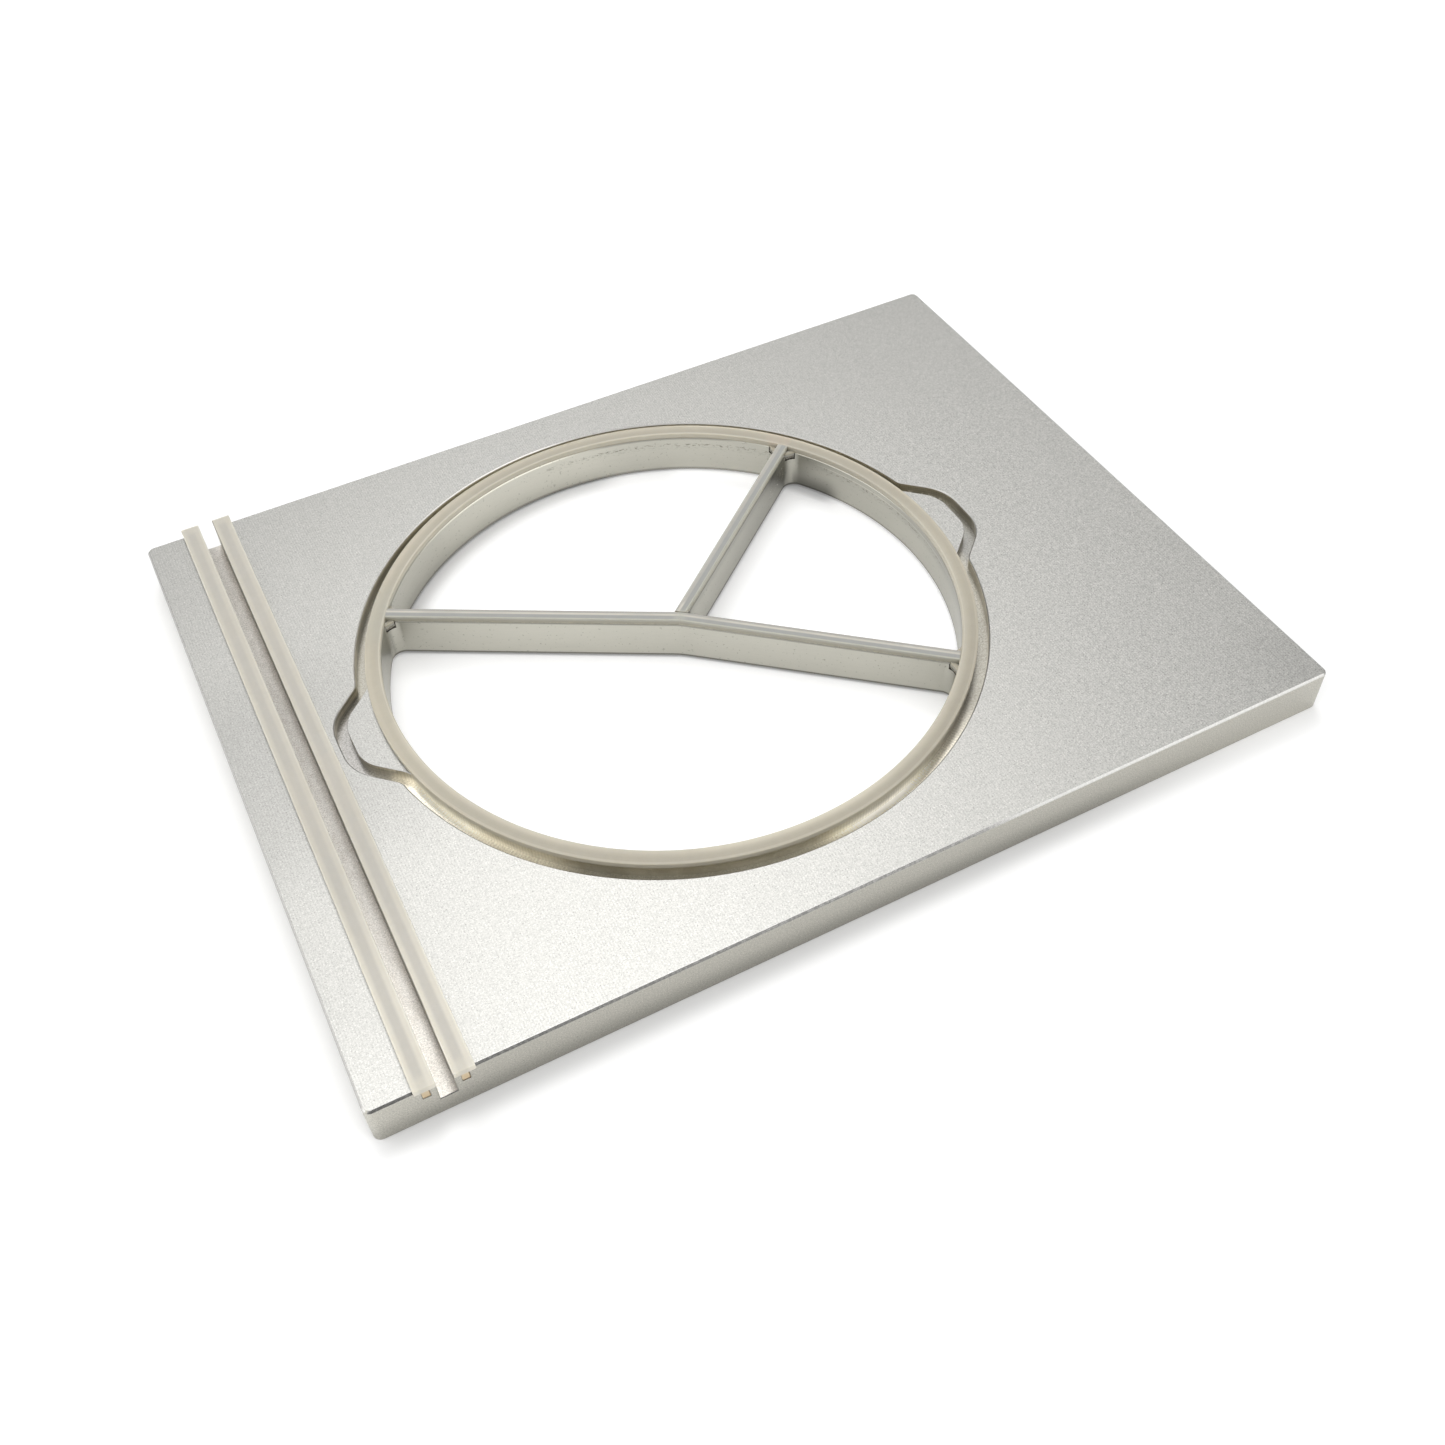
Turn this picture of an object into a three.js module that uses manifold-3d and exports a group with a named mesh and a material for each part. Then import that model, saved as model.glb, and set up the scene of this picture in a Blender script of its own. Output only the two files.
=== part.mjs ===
// Tray-sealer die plate for a round three-compartment tray: one machined aluminium plate
// with a round through opening split by integral divider webs, silicone T-profile seals
// on the rim and on the webs, and two silicone strips either side of a cross-cut channel.
// Millimetres, +Z up, origin at the centre of the underside. +X runs along the long side
// and the channel is at the -X end. Seen from above, left is -X, rear is +Y, front is -Y.
import * as THREE from 'three';
import { mergeVertices } from 'three/addons/utils/BufferGeometryUtils.js';
import Module from 'manifold-3d';

const wasm = await Module();
wasm.setup();

// ---------------------------------------------------------------- dimensions
const PLATE_L = 390;            // along X
const PLATE_W = 300;            // along Y
const PLATE_T = 19;             // thickness
const PLATE_CORNER_R = 3;       // upright corners
const TOP_CHAMFER = 0.8;        // outer top edge
const BOTTOM_CHAMFER = 0.3;     // outer bottom edge

// the round opening; its centre is the "ring centre" that the tray features are laid out from
const RING_CENTRE = [-14.8, 0];
const OPENING_R = 117.2;
const OPENING_FLARE = 1.5;      // chamfer round the underside of each compartment

// knife groove: a circle with an ear at its +X and -X sides
const KNIFE_OUTER_R = 128;      // outer wall of the round part
const KNIFE_W = 5;
const KNIFE_DEPTH = 5;
const EAR_REACH = 140.2;        // ring centre to the outer wall of an ear, along X
const EAR_SLOPE = 43.5;         // slope of an ear's shoulders, degrees
const EAR_SHOULDER = [130.6, 22.4]; // a point on the shoulder, from the ring centre
const EAR_CORNER_R = 20;        // outer radius of an ear's two corners
const EAR_BLEND_R = 6;          // radius where a shoulder runs into the round groove

// divider webs
const WEB_T = 5;                // thickness
const WEB_CORNER_R = 5.5;       // upright fillets between web and opening wall
const WEB_ROOT_R = 4;           // upright fillets between the webs, tight corners
const WEB_BEND_R = 30;          // the same on the side where two webs almost line up
// through: a point on the centre line, from the ring centre; angle: its direction, degrees;
// slotStart: where the seal slot starts along it, just past the crossing of the webs
const WEBS = {
  left: { through: [2.20, -1.75], angle: 149.8, slotStart: -4 },
  rear: { through: [2.88, -0.95], angle: 39.9, slotStart: -1 },
  front: { through: [2.17, -1.49], angle: -40.2, slotStart: -4 },
};

// slots for the feet of the rim and web seals
const SEAT_SLOT_W = 3;
const SEAT_SLOT_D = 3.3;
const SEAT_SLOT_R = 120.1;      // centre line of the rim slot
// opening through each web corner into the rim slot
const RELIEF_W = 4.8;
const RELIEF_DEPTH = 3.1;
const RELIEF_INSIDE = 2.5;      // reach from the corner's wall into the compartment
const RELIEF_OUTSIDE = 1.6;     // reach from the corner's wall into the plate

// seals
const SEAL_RISE = 2.65;         // seal top above the plate top
const SEAL_CLEAR = 0.1;         // clearance of every seal to its seat
const RIM_SEAL_INNER_R = 117.4;
const RIM_SEAL_OUTER_R = 123.5;
const WEB_SEAL_W = 5;
const FOOT_DEPTH = 3;           // rim and web seals, below the plate top
const BUTT_GAP = 0.3;           // between the ends of neighbouring seals

// cross-cut channel and its two strips
const CHANNEL_X = -168.15;
const CHANNEL_W = 6;
const CHANNEL_D = 10.5;
const MOUTH_CHAMFER = 0.3;      // round each mouth of the channel
const STRIP_W = 7.6;            // head width
const STRIP_OVERHANG = 1.5;     // of each head end past the plate's long side
const STRIP_HEAD_L = PLATE_W + 2 * STRIP_OVERHANG;
const STRIP_FOOT_L = PLATE_W - 2 * SEAL_CLEAR;
const STRIP_SLOT_W = 3;
const STRIP_SLOT_D = 6.2;
const STRIP_FOOT_DEPTH = 6;
const STRIP_OFFSET = CHANNEL_W / 2 + STRIP_W / 2;   // channel centre to strip centre

// seal levels
const SEAL_TOP = PLATE_T + SEAL_RISE;
const SEAL_LOW = PLATE_T + SEAL_CLEAR;
const FOOT_TOP = SEAL_TOP - 1;  // feet run up inside the heads so that the two fuse

// degrees per facet
const RING_STEP = 2.5;          // large circles
const EAR_STEP = 7.5;
const FILLET_STEP = 12;         // compartment fillets
const PLATE_CORNER_STEP = 15;

// sizes of tool solids, which only need to be large enough
const PAST = 5;                 // how far a tool runs past the surface it cuts
const WEB_SEAL_START = -20;     // uncut web seal, along its web
const WEB_SEAL_END = 125;
const TRIM_REACH = 300;         // trimming blocks
const TOOL_TOP = PLATE_T + PAST;

// ---------------------------------------------------------------- plane geometry
const radians = (degrees) => degrees * Math.PI / 180;
const degrees = (angle) => angle * 180 / Math.PI;
const add = (a, b) => [a[0] + b[0], a[1] + b[1]];
const subtract = (a, b) => [a[0] - b[0], a[1] - b[1]];
const scale = (a, factor) => [a[0] * factor, a[1] * factor];
const dot = (a, b) => a[0] * b[0] + a[1] * b[1];
const normalise = (a) => scale(a, 1 / Math.hypot(a[0], a[1]));
const unit = (angle) => [Math.cos(radians(angle)), Math.sin(radians(angle))];
const turnLeft = (a) => [-a[1], a[0]];
const angleOf = (a) => degrees(Math.atan2(a[1], a[0]));
const fromRing = (point) => add(point, RING_CENTRE);

// where the line through p along u meets the line through q along v
function crossing(p, u, q, v) {
  const offset = subtract(q, p);
  const along = (v[0] * offset[1] - offset[0] * v[1]) / (v[0] * u[1] - u[0] * v[1]);
  return add(p, scale(u, along));
}

// points of an arc, angles and facet step in degrees
function arc(centre, radius, from, to, step) {
  const count = Math.max(2, Math.ceil(Math.abs(to - from) / step));
  return Array.from({ length: count + 1 }, (_, i) => (
    add(centre, scale(unit(from + (to - from) * i / count), radius))));
}

// the same, always anticlockwise
function arcLeft(centre, radius, from, to, step) {
  return arc(centre, radius, from, to < from ? to + 360 : to, step);
}

const rectangle = (x0, x1, y0, y1) => [[x0, y0], [x1, y0], [x1, y1], [x0, y1]];

// rectangle laid along a direction, between two distances along it and two to its left
function barAlong(origin, direction, start, end, side0, side1) {
  const across = turnLeft(direction);
  return rectangle(start, end, side0, side1)
    .map(([x, y]) => add(add(origin, scale(direction, x)), scale(across, y)));
}

function roundedRect(length, width, radius) {
  const x = length / 2 - radius;
  const y = width / 2 - radius;
  return [[x, y], [-x, y], [-x, -y], [x, -y]].flatMap((centre, i) => (
    arc(centre, radius, 90 * i, 90 * (i + 1), PLATE_CORNER_STEP)));
}

// ---------------------------------------------------------------- solids
// drops points that all but coincide with the one before
function withoutRepeats(points) {
  const closest = 0.02;
  const gap = (a, b) => Math.hypot(a[0] - b[0], a[1] - b[1]);
  const kept = [];
  for (const point of points) {
    if (!kept.length || gap(point, kept[kept.length - 1]) > closest) kept.push(point);
  }
  if (gap(kept[0], kept[kept.length - 1]) <= closest) kept.pop();
  return kept;
}

function toSolid(geometry) {
  geometry.deleteAttribute('normal');
  geometry.deleteAttribute('uv');
  const merged = mergeVertices(geometry, 1e-4);
  const index = merged.getIndex().array;
  const triangles = [];
  for (let i = 0; i < index.length; i += 3) {
    const [a, b, c] = [index[i], index[i + 1], index[i + 2]];
    if (a !== b && b !== c && a !== c) triangles.push(a, b, c);
  }
  return new wasm.Manifold(new wasm.Mesh({
    numProp: 3,
    vertProperties: new Float32Array(merged.getAttribute('position').array),
    triVerts: new Uint32Array(triangles),
  }));
}

// upright extrusion; with a taper the ends have the given outline, and the outline
// grows by `taper` over the same height towards the middle
function extrude(outline, z0, z1, taper = 0) {
  const points = withoutRepeats(outline).map(([x, y]) => new THREE.Vector2(x, y));
  const geometry = new THREE.ExtrudeGeometry(new THREE.Shape(points), {
    depth: z1 - z0 - 2 * taper,
    bevelEnabled: taper > 0,
    bevelSize: taper,
    bevelThickness: taper,
    bevelSegments: 1,
  });
  return geometry.translate(0, 0, z0 + taper);
}

const prism = (outline, z0, z1, taper) => toSolid(extrude(outline, z0, z1, taper));

// bar along Y from an outline in X and Z, centred on the plate's width
function prismAlongY(outline, length) {
  return toSolid(extrude(outline, -length / 2, length / 2).rotateX(Math.PI / 2));
}

// body of revolution about the ring centre; [r, z] outline, anticlockwise
function turned(profile) {
  const points = [...profile, profile[0]].map(([r, z]) => new THREE.Vector2(r, z));
  const geometry = new THREE.LatheGeometry(points, Math.round(360 / RING_STEP));
  geometry.rotateX(Math.PI / 2);
  geometry.translate(...RING_CENTRE, 0);
  return toSolid(geometry);
}

// ---------------------------------------------------------------- plate blank
function plateBlank() {
  const inset = (d) => roundedRect(PLATE_L - 2 * d, PLATE_W - 2 * d, PLATE_CORNER_R - d);
  const topEased = prism(inset(TOP_CHAMFER), -PAST, PLATE_T, TOP_CHAMFER);
  const bottomEased = prism(inset(BOTTOM_CHAMFER), 0, TOOL_TOP, BOTTOM_CHAMFER);
  return topEased.intersect(bottomEased);
}

// ---------------------------------------------------------------- compartments
// Compartment between a web and the next one anticlockwise. Returns its outline and its
// two corners at the opening wall: fillet centre, and direction from the web inwards.
function compartment(web, nextWeb, rootR) {
  const along = unit(web.angle);
  const nextAlong = unit(nextWeb.angle);
  const inward = turnLeft(along);
  const nextInward = scale(turnLeft(nextAlong), -1);
  const face = add(web.through, scale(inward, WEB_T / 2));
  const nextFace = add(nextWeb.through, scale(nextInward, WEB_T / 2));

  const root = crossing(
    add(face, scale(inward, rootR)), along,
    add(nextFace, scale(nextInward, rootR)), nextAlong);
  // centre of the fillet between a web face and the opening wall
  const filletCentre = (facePoint, direction, away) => {
    const start = add(facePoint, scale(away, WEB_CORNER_R));
    const middle = dot(start, direction);
    const reach = OPENING_R - WEB_CORNER_R;
    const distance = -middle + Math.sqrt(middle ** 2 - dot(start, start) + reach ** 2);
    return add(start, scale(direction, distance));
  };
  const fillet = filletCentre(face, along, inward);
  const nextFillet = filletCentre(nextFace, nextAlong, nextInward);

  const toWeb = angleOf(scale(inward, -1));
  const toNextWeb = angleOf(scale(nextInward, -1));
  const outline = [
    ...arcLeft(root, rootR, toNextWeb, toWeb, FILLET_STEP),
    ...arcLeft(fillet, WEB_CORNER_R, toWeb, angleOf(fillet), FILLET_STEP),
    ...arcLeft([0, 0], OPENING_R, angleOf(fillet), angleOf(nextFillet), RING_STEP),
    ...arcLeft(nextFillet, WEB_CORNER_R, angleOf(nextFillet), toNextWeb, FILLET_STEP),
  ];
  return {
    outline: outline.map(fromRing),
    corners: [
      { centre: fillet, inward },
      { centre: nextFillet, inward: nextInward },
    ],
  };
}

const compartments = [
  compartment(WEBS.rear, WEBS.left, WEB_ROOT_R),
  compartment(WEBS.left, WEBS.front, WEB_BEND_R),
  compartment(WEBS.front, WEBS.rear, WEB_ROOT_R),
];

const compartmentCuts = () => compartments.flatMap(({ outline }) => [
  prism(outline, -PAST, TOOL_TOP),
  prism(outline, -PAST, OPENING_FLARE, OPENING_FLARE),
]);

// ---------------------------------------------------------------- knife groove
// the +X, +Y quarter of the groove's outer wall, moved inwards by `inset`
function knifeQuarter(inset) {
  const radius = KNIFE_OUTER_R - inset;
  const reach = EAR_REACH - inset;
  const cornerR = EAR_CORNER_R - inset;
  const blendR = EAR_BLEND_R + inset;
  const normal = [Math.sin(radians(EAR_SLOPE)), Math.cos(radians(EAR_SLOPE))];
  const normalAngle = angleOf(normal);
  const shoulder = dot(normal, EAR_SHOULDER) - inset;   // ring centre to shoulder line
  // corner between the straight outer wall and the shoulder
  const cornerX = reach - cornerR;
  const corner = [cornerX, (shoulder - cornerR - normal[0] * cornerX) / normal[1]];
  // blend between the shoulder and the round groove
  const blendReach = radius + blendR;
  const blendAngle = normalAngle - degrees(Math.acos((shoulder + blendR) / blendReach));
  const blend = scale(unit(blendAngle), blendReach);
  return [
    [reach, 0],
    ...arc(corner, cornerR, 0, normalAngle, EAR_STEP),
    ...arc(blend, blendR, 180 + normalAngle, 180 + blendAngle, EAR_STEP),
    ...arc([0, 0], radius, blendAngle, 90, RING_STEP),
  ];
}

function knifeOutline(inset) {
  const quarter = knifeQuarter(inset);
  return [
    ...quarter,
    ...quarter.map(([x, y]) => [-x, y]).reverse(),
    ...quarter.map(([x, y]) => [-x, -y]),
    ...quarter.map(([x, y]) => [x, -y]).reverse(),
  ].map(fromRing);
}

function knifeCut() {
  const floor = PLATE_T - KNIFE_DEPTH;
  const island = prism(knifeOutline(KNIFE_W), floor - PAST, TOOL_TOP + PAST);
  return prism(knifeOutline(0), floor, TOOL_TOP).subtract(island);
}

// ---------------------------------------------------------------- seal seats
function rimSlotCut() {
  const half = SEAT_SLOT_W / 2;
  return turned(rectangle(
    SEAT_SLOT_R - half, SEAT_SLOT_R + half, PLATE_T - SEAT_SLOT_D, TOOL_TOP));
}

// bar on a web's centre line
function webBar(web, width, start, end) {
  return barAlong(fromRing(web.through), unit(web.angle), start, end, -width / 2, width / 2);
}

function webSlotCut(web) {
  const end = SEAT_SLOT_R - dot(web.through, unit(web.angle));   // about the rim slot's middle
  return prism(webBar(web, SEAT_SLOT_W, web.slotStart, end), PLATE_T - SEAT_SLOT_D, TOOL_TOP);
}

// small opening that points from a corner's fillet centre into the corner
function reliefCut({ centre, inward }) {
  const direction = normalise(subtract(normalise(centre), inward));
  const start = WEB_CORNER_R - RELIEF_INSIDE;
  const end = WEB_CORNER_R + RELIEF_OUTSIDE;
  const half = RELIEF_W / 2;
  const outline = barAlong(fromRing(centre), direction, start, end, -half, half);
  return prism(outline, PLATE_T - RELIEF_DEPTH, TOOL_TOP);
}

// ---------------------------------------------------------------- cross-cut channel
// straight slot along Y, open at both long edges
function crossSlotCut(x, width, depth) {
  const endY = PLATE_W / 2 + PAST;
  const outline = rectangle(x - width / 2, x + width / 2, -endY, endY);
  return prism(outline, PLATE_T - depth, TOOL_TOP);
}

// chamfer down both walls and along the floor of one mouth; turn 0 is the front one
function mouthCut(turn) {
  const section = rectangle(-CHANNEL_W / 2, CHANNEL_W / 2, PLATE_T - CHANNEL_D, TOOL_TOP);
  const start = PLATE_W / 2 - MOUTH_CHAMFER;
  const geometry = extrude(section, start, PLATE_W / 2 + PAST, MOUTH_CHAMFER);
  geometry.rotateX(Math.PI / 2);
  geometry.rotateZ(turn);
  geometry.translate(CHANNEL_X, 0, 0);
  return toSolid(geometry);
}

// ---------------------------------------------------------------- die plate
const outerStripX = CHANNEL_X - STRIP_OFFSET;
const innerStripX = CHANNEL_X + STRIP_OFFSET;

function diePlate() {
  const cuts = [
    ...compartmentCuts(),
    knifeCut(),
    rimSlotCut(),
    ...Object.values(WEBS).map(webSlotCut),
    ...compartments.flatMap(({ corners }) => corners.map(reliefCut)),
    crossSlotCut(CHANNEL_X, CHANNEL_W, CHANNEL_D),
    mouthCut(0),
    mouthCut(Math.PI),
    crossSlotCut(outerStripX, STRIP_SLOT_W, STRIP_SLOT_D),
    crossSlotCut(innerStripX, STRIP_SLOT_W, STRIP_SLOT_D),
  ];
  return cuts.reduce((plate, cut) => plate.subtract(cut), plateBlank());
}

// ---------------------------------------------------------------- rim and web seals
const FOOT_W = SEAT_SLOT_W - 2 * SEAL_CLEAR;
const FOOT_BOTTOM = PLATE_T - FOOT_DEPTH;

function rimSeal() {
  const footInnerR = SEAT_SLOT_R - FOOT_W / 2;
  const footOuterR = SEAT_SLOT_R + FOOT_W / 2;
  return turned([
    [RIM_SEAL_INNER_R, SEAL_LOW], [footInnerR, SEAL_LOW],
    [footInnerR, FOOT_BOTTOM], [footOuterR, FOOT_BOTTOM],
    [footOuterR, SEAL_LOW], [RIM_SEAL_OUTER_R, SEAL_LOW],
    [RIM_SEAL_OUTER_R, SEAL_TOP], [RIM_SEAL_INNER_R, SEAL_TOP],
  ]);
}

// T-bar along a web, cut off just inside the rim seal; its inner end is still overlong
function webSeal(web) {
  const bar = (width) => webBar(web, width, WEB_SEAL_START, WEB_SEAL_END);
  const head = prism(bar(WEB_SEAL_W), SEAL_LOW, SEAL_TOP);
  const foot = prism(bar(FOOT_W), FOOT_BOTTOM, FOOT_TOP);
  const rimRadius = RIM_SEAL_INNER_R - BUTT_GAP;
  const insideRim = arc(RING_CENTRE, rimRadius, 0, 360 - RING_STEP, RING_STEP);
  return head.add(foot).intersect(prism(insideRim, PLATE_T - PAST, TOOL_TOP));
}

// block covering all that lies left of a line; the point is from the ring centre
function leftOf(point, angle) {
  const outline = barAlong(
    fromRing(point), unit(angle), -TRIM_REACH, TRIM_REACH, 0, TRIM_REACH);
  return prism(outline, PLATE_T - PAST, TOOL_TOP);
}

// the left and front seals meet in a mitre where their centre lines cross
const mitrePoint = crossing(
  WEBS.left.through, unit(WEBS.left.angle), WEBS.front.through, unit(WEBS.front.angle));
const mitreAngle = (WEBS.left.angle + WEBS.front.angle) / 2;
const mitreShift = scale(turnLeft(unit(mitreAngle)), BUTT_GAP / 2);

const leftSeal = () => webSeal(WEBS.left)
  .intersect(leftOf(add(mitrePoint, mitreShift), mitreAngle));

const frontSeal = () => webSeal(WEBS.front)
  .intersect(leftOf(subtract(mitrePoint, mitreShift), mitreAngle + 180));

// the rear seal butts against the sides of the other two that face it
function rearSeal() {
  const { left, rear, front } = WEBS;
  const distance = WEB_SEAL_W / 2 + BUTT_GAP;
  const beside = (web, offset) => (
    add(web.through, scale(turnLeft(unit(web.angle)), offset)));
  return webSeal(rear)
    .intersect(leftOf(beside(left, -distance), left.angle + 180))
    .intersect(leftOf(beside(front, distance), front.angle));
}

// ---------------------------------------------------------------- cross-cut strips
function strip(x) {
  const bar = (width, z0, z1, length) => (
    prismAlongY(rectangle(x - width / 2, x + width / 2, z0, z1), length));
  const footW = STRIP_SLOT_W - 2 * SEAL_CLEAR;
  const head = bar(STRIP_W, SEAL_LOW, SEAL_TOP, STRIP_HEAD_L);
  const foot = bar(footW, PLATE_T - STRIP_FOOT_DEPTH, FOOT_TOP, STRIP_FOOT_L);
  return head.add(foot);
}

// ---------------------------------------------------------------- materials
const aluminium = { color: 0xc4c4c0, roughness: 0.42, metalness: 0.9 };
const silicone = (color) => ({ color, roughness: 0.5, metalness: 0 });
const rimSilicone = silicone(0xcdc7b6);
const webSilicone = silicone(0xbcbdb8);
const stripSilicone = silicone(0xcfccbf);

// ---------------------------------------------------------------- assembly
function toMesh(name, solid, finish) {
  const { vertProperties, triVerts } = solid.getMesh();
  const geometry = new THREE.BufferGeometry();
  geometry.setAttribute(
    'position', new THREE.BufferAttribute(new Float32Array(vertProperties), 3));
  geometry.setIndex(new THREE.BufferAttribute(new Uint32Array(triVerts), 1));
  geometry.computeVertexNormals();
  const mesh = new THREE.Mesh(geometry, new THREE.MeshStandardMaterial(finish));
  mesh.name = name;
  return mesh;
}

const object = new THREE.Group();
object.add(
  toMesh('die_plate', diePlate(), aluminium),
  toMesh('rim_seal_ring', rimSeal(), rimSilicone),
  toMesh('divider_seal_left', leftSeal(), webSilicone),
  toMesh('divider_seal_rear', rearSeal(), webSilicone),
  toMesh('divider_seal_front', frontSeal(), webSilicone),
  toMesh('cross_cut_seal_outer', strip(outerStripX), stripSilicone),
  toMesh('cross_cut_seal_inner', strip(innerStripX), stripSilicone),
);

export default object;
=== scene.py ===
"""A rectangular aluminium die plate with silicone seals, lying flat on the floor.

The plate's length runs along X and its width along Y, with its underside at z = 0.
Front is -Y, back is +Y and left is -X. A round opening, split by three webs into
three rooms, sits to the right of a straight cross-cut channel that runs along Y.
Shapes are built in millimetres and scaled to metres when they are placed.
"""
import math
from collections import namedtuple

import bmesh
import bpy
import numpy as np
from mathutils import Matrix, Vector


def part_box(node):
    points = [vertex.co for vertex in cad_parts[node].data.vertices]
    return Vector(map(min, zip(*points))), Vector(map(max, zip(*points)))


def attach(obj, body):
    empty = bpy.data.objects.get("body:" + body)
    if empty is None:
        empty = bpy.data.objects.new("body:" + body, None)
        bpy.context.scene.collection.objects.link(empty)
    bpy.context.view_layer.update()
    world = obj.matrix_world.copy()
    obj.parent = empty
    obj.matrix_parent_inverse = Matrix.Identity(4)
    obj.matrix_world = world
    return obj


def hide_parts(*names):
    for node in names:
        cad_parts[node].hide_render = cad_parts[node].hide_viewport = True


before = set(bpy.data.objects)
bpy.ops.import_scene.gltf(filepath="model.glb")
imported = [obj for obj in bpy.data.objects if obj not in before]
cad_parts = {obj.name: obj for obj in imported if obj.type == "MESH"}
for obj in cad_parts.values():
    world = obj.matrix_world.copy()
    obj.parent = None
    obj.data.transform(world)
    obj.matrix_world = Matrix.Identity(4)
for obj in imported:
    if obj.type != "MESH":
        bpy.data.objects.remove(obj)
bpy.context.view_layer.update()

scene = bpy.context.scene
BODY = "root"


# ------------------------------------------------------------------ plane geometry
def unit(angle):
    """The unit vector at an angle in degrees from +X."""
    return np.array([math.cos(math.radians(angle)), math.sin(math.radians(angle))])


def left_of(vector):
    return np.array([-vector[1], vector[0]])


def angle_of(vector):
    return math.degrees(math.atan2(vector[1], vector[0]))


def arc(centre, radius, start, end, steps):
    turn = np.radians(np.linspace(start, end, steps + 1))
    return np.stack([centre[0] + radius * np.cos(turn), centre[1] + radius * np.sin(turn)], 1)


def rectangle(x0, x1, y0, y1):
    return np.array([(x0, y0), (x1, y0), (x1, y1), (x0, y1)], float)


def crossing(point_a, along_a, point_b, along_b):
    """Where the line through point_a meets the line through point_b."""
    steps = np.linalg.solve(np.stack([along_a, -along_b], 1), point_b - point_a)
    return point_a + along_a * steps[0]


class Web:
    """A straight web: a point on its middle line from the ring's centre, and its bearing."""

    def __init__(self, point, angle, head_left, slot_start, front_sign):
        self.point, self.angle = np.array(point), angle
        self.along = unit(angle)
        self.across = left_of(self.along)
        self.to_front = self.across * front_sign    # the side that faces the front
        self.head_left = head_left                  # the seal head's reach left of the line
        self.slot_start = slot_start                # where its seal slot begins along the line


# ------------------------------------------------------------------ dimensions, mm
def span(low, high):
    return (high - low) * 1000


def middle(low, high):
    return (low + high) * 500


plate_lo, plate_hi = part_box("die_plate")
rim_lo, rim_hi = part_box("rim_seal_ring")
outer_lo, outer_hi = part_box("cross_cut_seal_outer")
inner_lo, inner_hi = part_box("cross_cut_seal_inner")

LENGTH = span(plate_lo.x, plate_hi.x)
WIDTH = span(plate_lo.y, plate_hi.y)
THICK = plate_hi.z * 1000
PLATE_CORNER_R = 3
SEAL_TOP = rim_hi.z * 1000
RING_X = middle(rim_lo.x, rim_hi.x)         # centre of the round opening
RING_Y = middle(rim_lo.y, rim_hi.y)
CENTRE = np.array([RING_X, RING_Y])
RIM_OUTER_R = span(rim_lo.x, rim_hi.x) / 2
RIM_INNER_R = RIM_OUTER_R - 6.25
OPENING_R = 117.2
FLARE = 1.5                                 # chamfer round the rooms' lower edge
TOP_BREAK = 0.22                            # and round their upper edge

GROOVE_R, GROOVE_W, GROOVE_D = 128.0, 5.0, 5.0      # knife groove, by its outer wall
EAR_REACH, EAR_SLOPE, EAR_SHOULDER = 140.2, 43.5, (130.6, 22.4)
EAR_CORNER_R, EAR_BLEND_R = 20.0, 6.0

WEB_T, WEB_CORNER_R, WEB_ROOT_R, WEB_BEND_R = 5.0, 5.5, 4.0, 30.0
WEBS = {
    "left": Web((2.20, -1.75), 149.8, head_left=2.5, slot_start=-4, front_sign=1),
    "rear": Web((2.88, -0.95), 39.9, head_left=2.08, slot_start=-1, front_sign=-1),
    "front": Web((2.17, -1.49), -40.2, head_left=2.5, slot_start=-4, front_sign=-1),
}
# each room: its first web, the next one anticlockwise, the radius where they meet
ROOMS = [("rear", "left", WEB_ROOT_R), ("left", "front", WEB_BEND_R), ("front", "rear", WEB_ROOT_R)]

SLOT_R, SLOT_W, SLOT_D = 120.1, 3.0, 3.3            # slot that holds the rim and web seals
WINDOW_W, WINDOW_H = 4.8, 3.1
WINDOW_IN, WINDOW_OUT = WEB_CORNER_R - 2.5, WEB_CORNER_R + 1.6

CHANNEL_X = middle(outer_hi.x, inner_lo.x)
CHANNEL_W = span(outer_hi.x, inner_lo.x)
CHANNEL_D = 10.5
MOUTH = 0.3                                         # ease of the channel's two ends
STRIP_W = span(outer_lo.x, outer_hi.x)
STRIP_L = span(outer_lo.y, outer_hi.y)
STRIP_X = {"outer": middle(outer_lo.x, outer_hi.x), "inner": middle(inner_lo.x, inner_hi.x)}
STRIP_SLOT_W, STRIP_SLOT_D, STRIP_FOOT_D, STRIP_FOOT_L = 3.0, 6.2, 6.0, 299.8

GAP = 0.05                          # the soft seals all but touch their seats
HEAD_LOW = THICK + GAP              # underside of every seal's head
HEAD_HALF = 2.5                     # half width of a web seal's head
TONGUE_HALF = SLOT_W / 2 - 0.1
TONGUE_END = THICK - 3
FOOT_HALF = STRIP_SLOT_W / 2 - 0.1
CROWN_R = 26.0                      # the rim seal's top is slightly domed
ABOVE = THICK + 1                   # where cutters end above the plate

LATHE_STEPS = 360
CORNER_STEPS = 14
ROUND_STEPS = 5
SHARP_ANGLE = 28.0


# ------------------------------------------------------------------ outlines
def plate_outline(inset):
    x, y = LENGTH / 2 - PLATE_CORNER_R, WIDTH / 2 - PLATE_CORNER_R
    corners = ((x, y), (-x, y), (-x, -y), (x, -y))
    return np.concatenate([
        arc(corner, PLATE_CORNER_R - inset, 90 * k, 90 * k + 90, CORNER_STEPS)
        for k, corner in enumerate(corners)])


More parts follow.
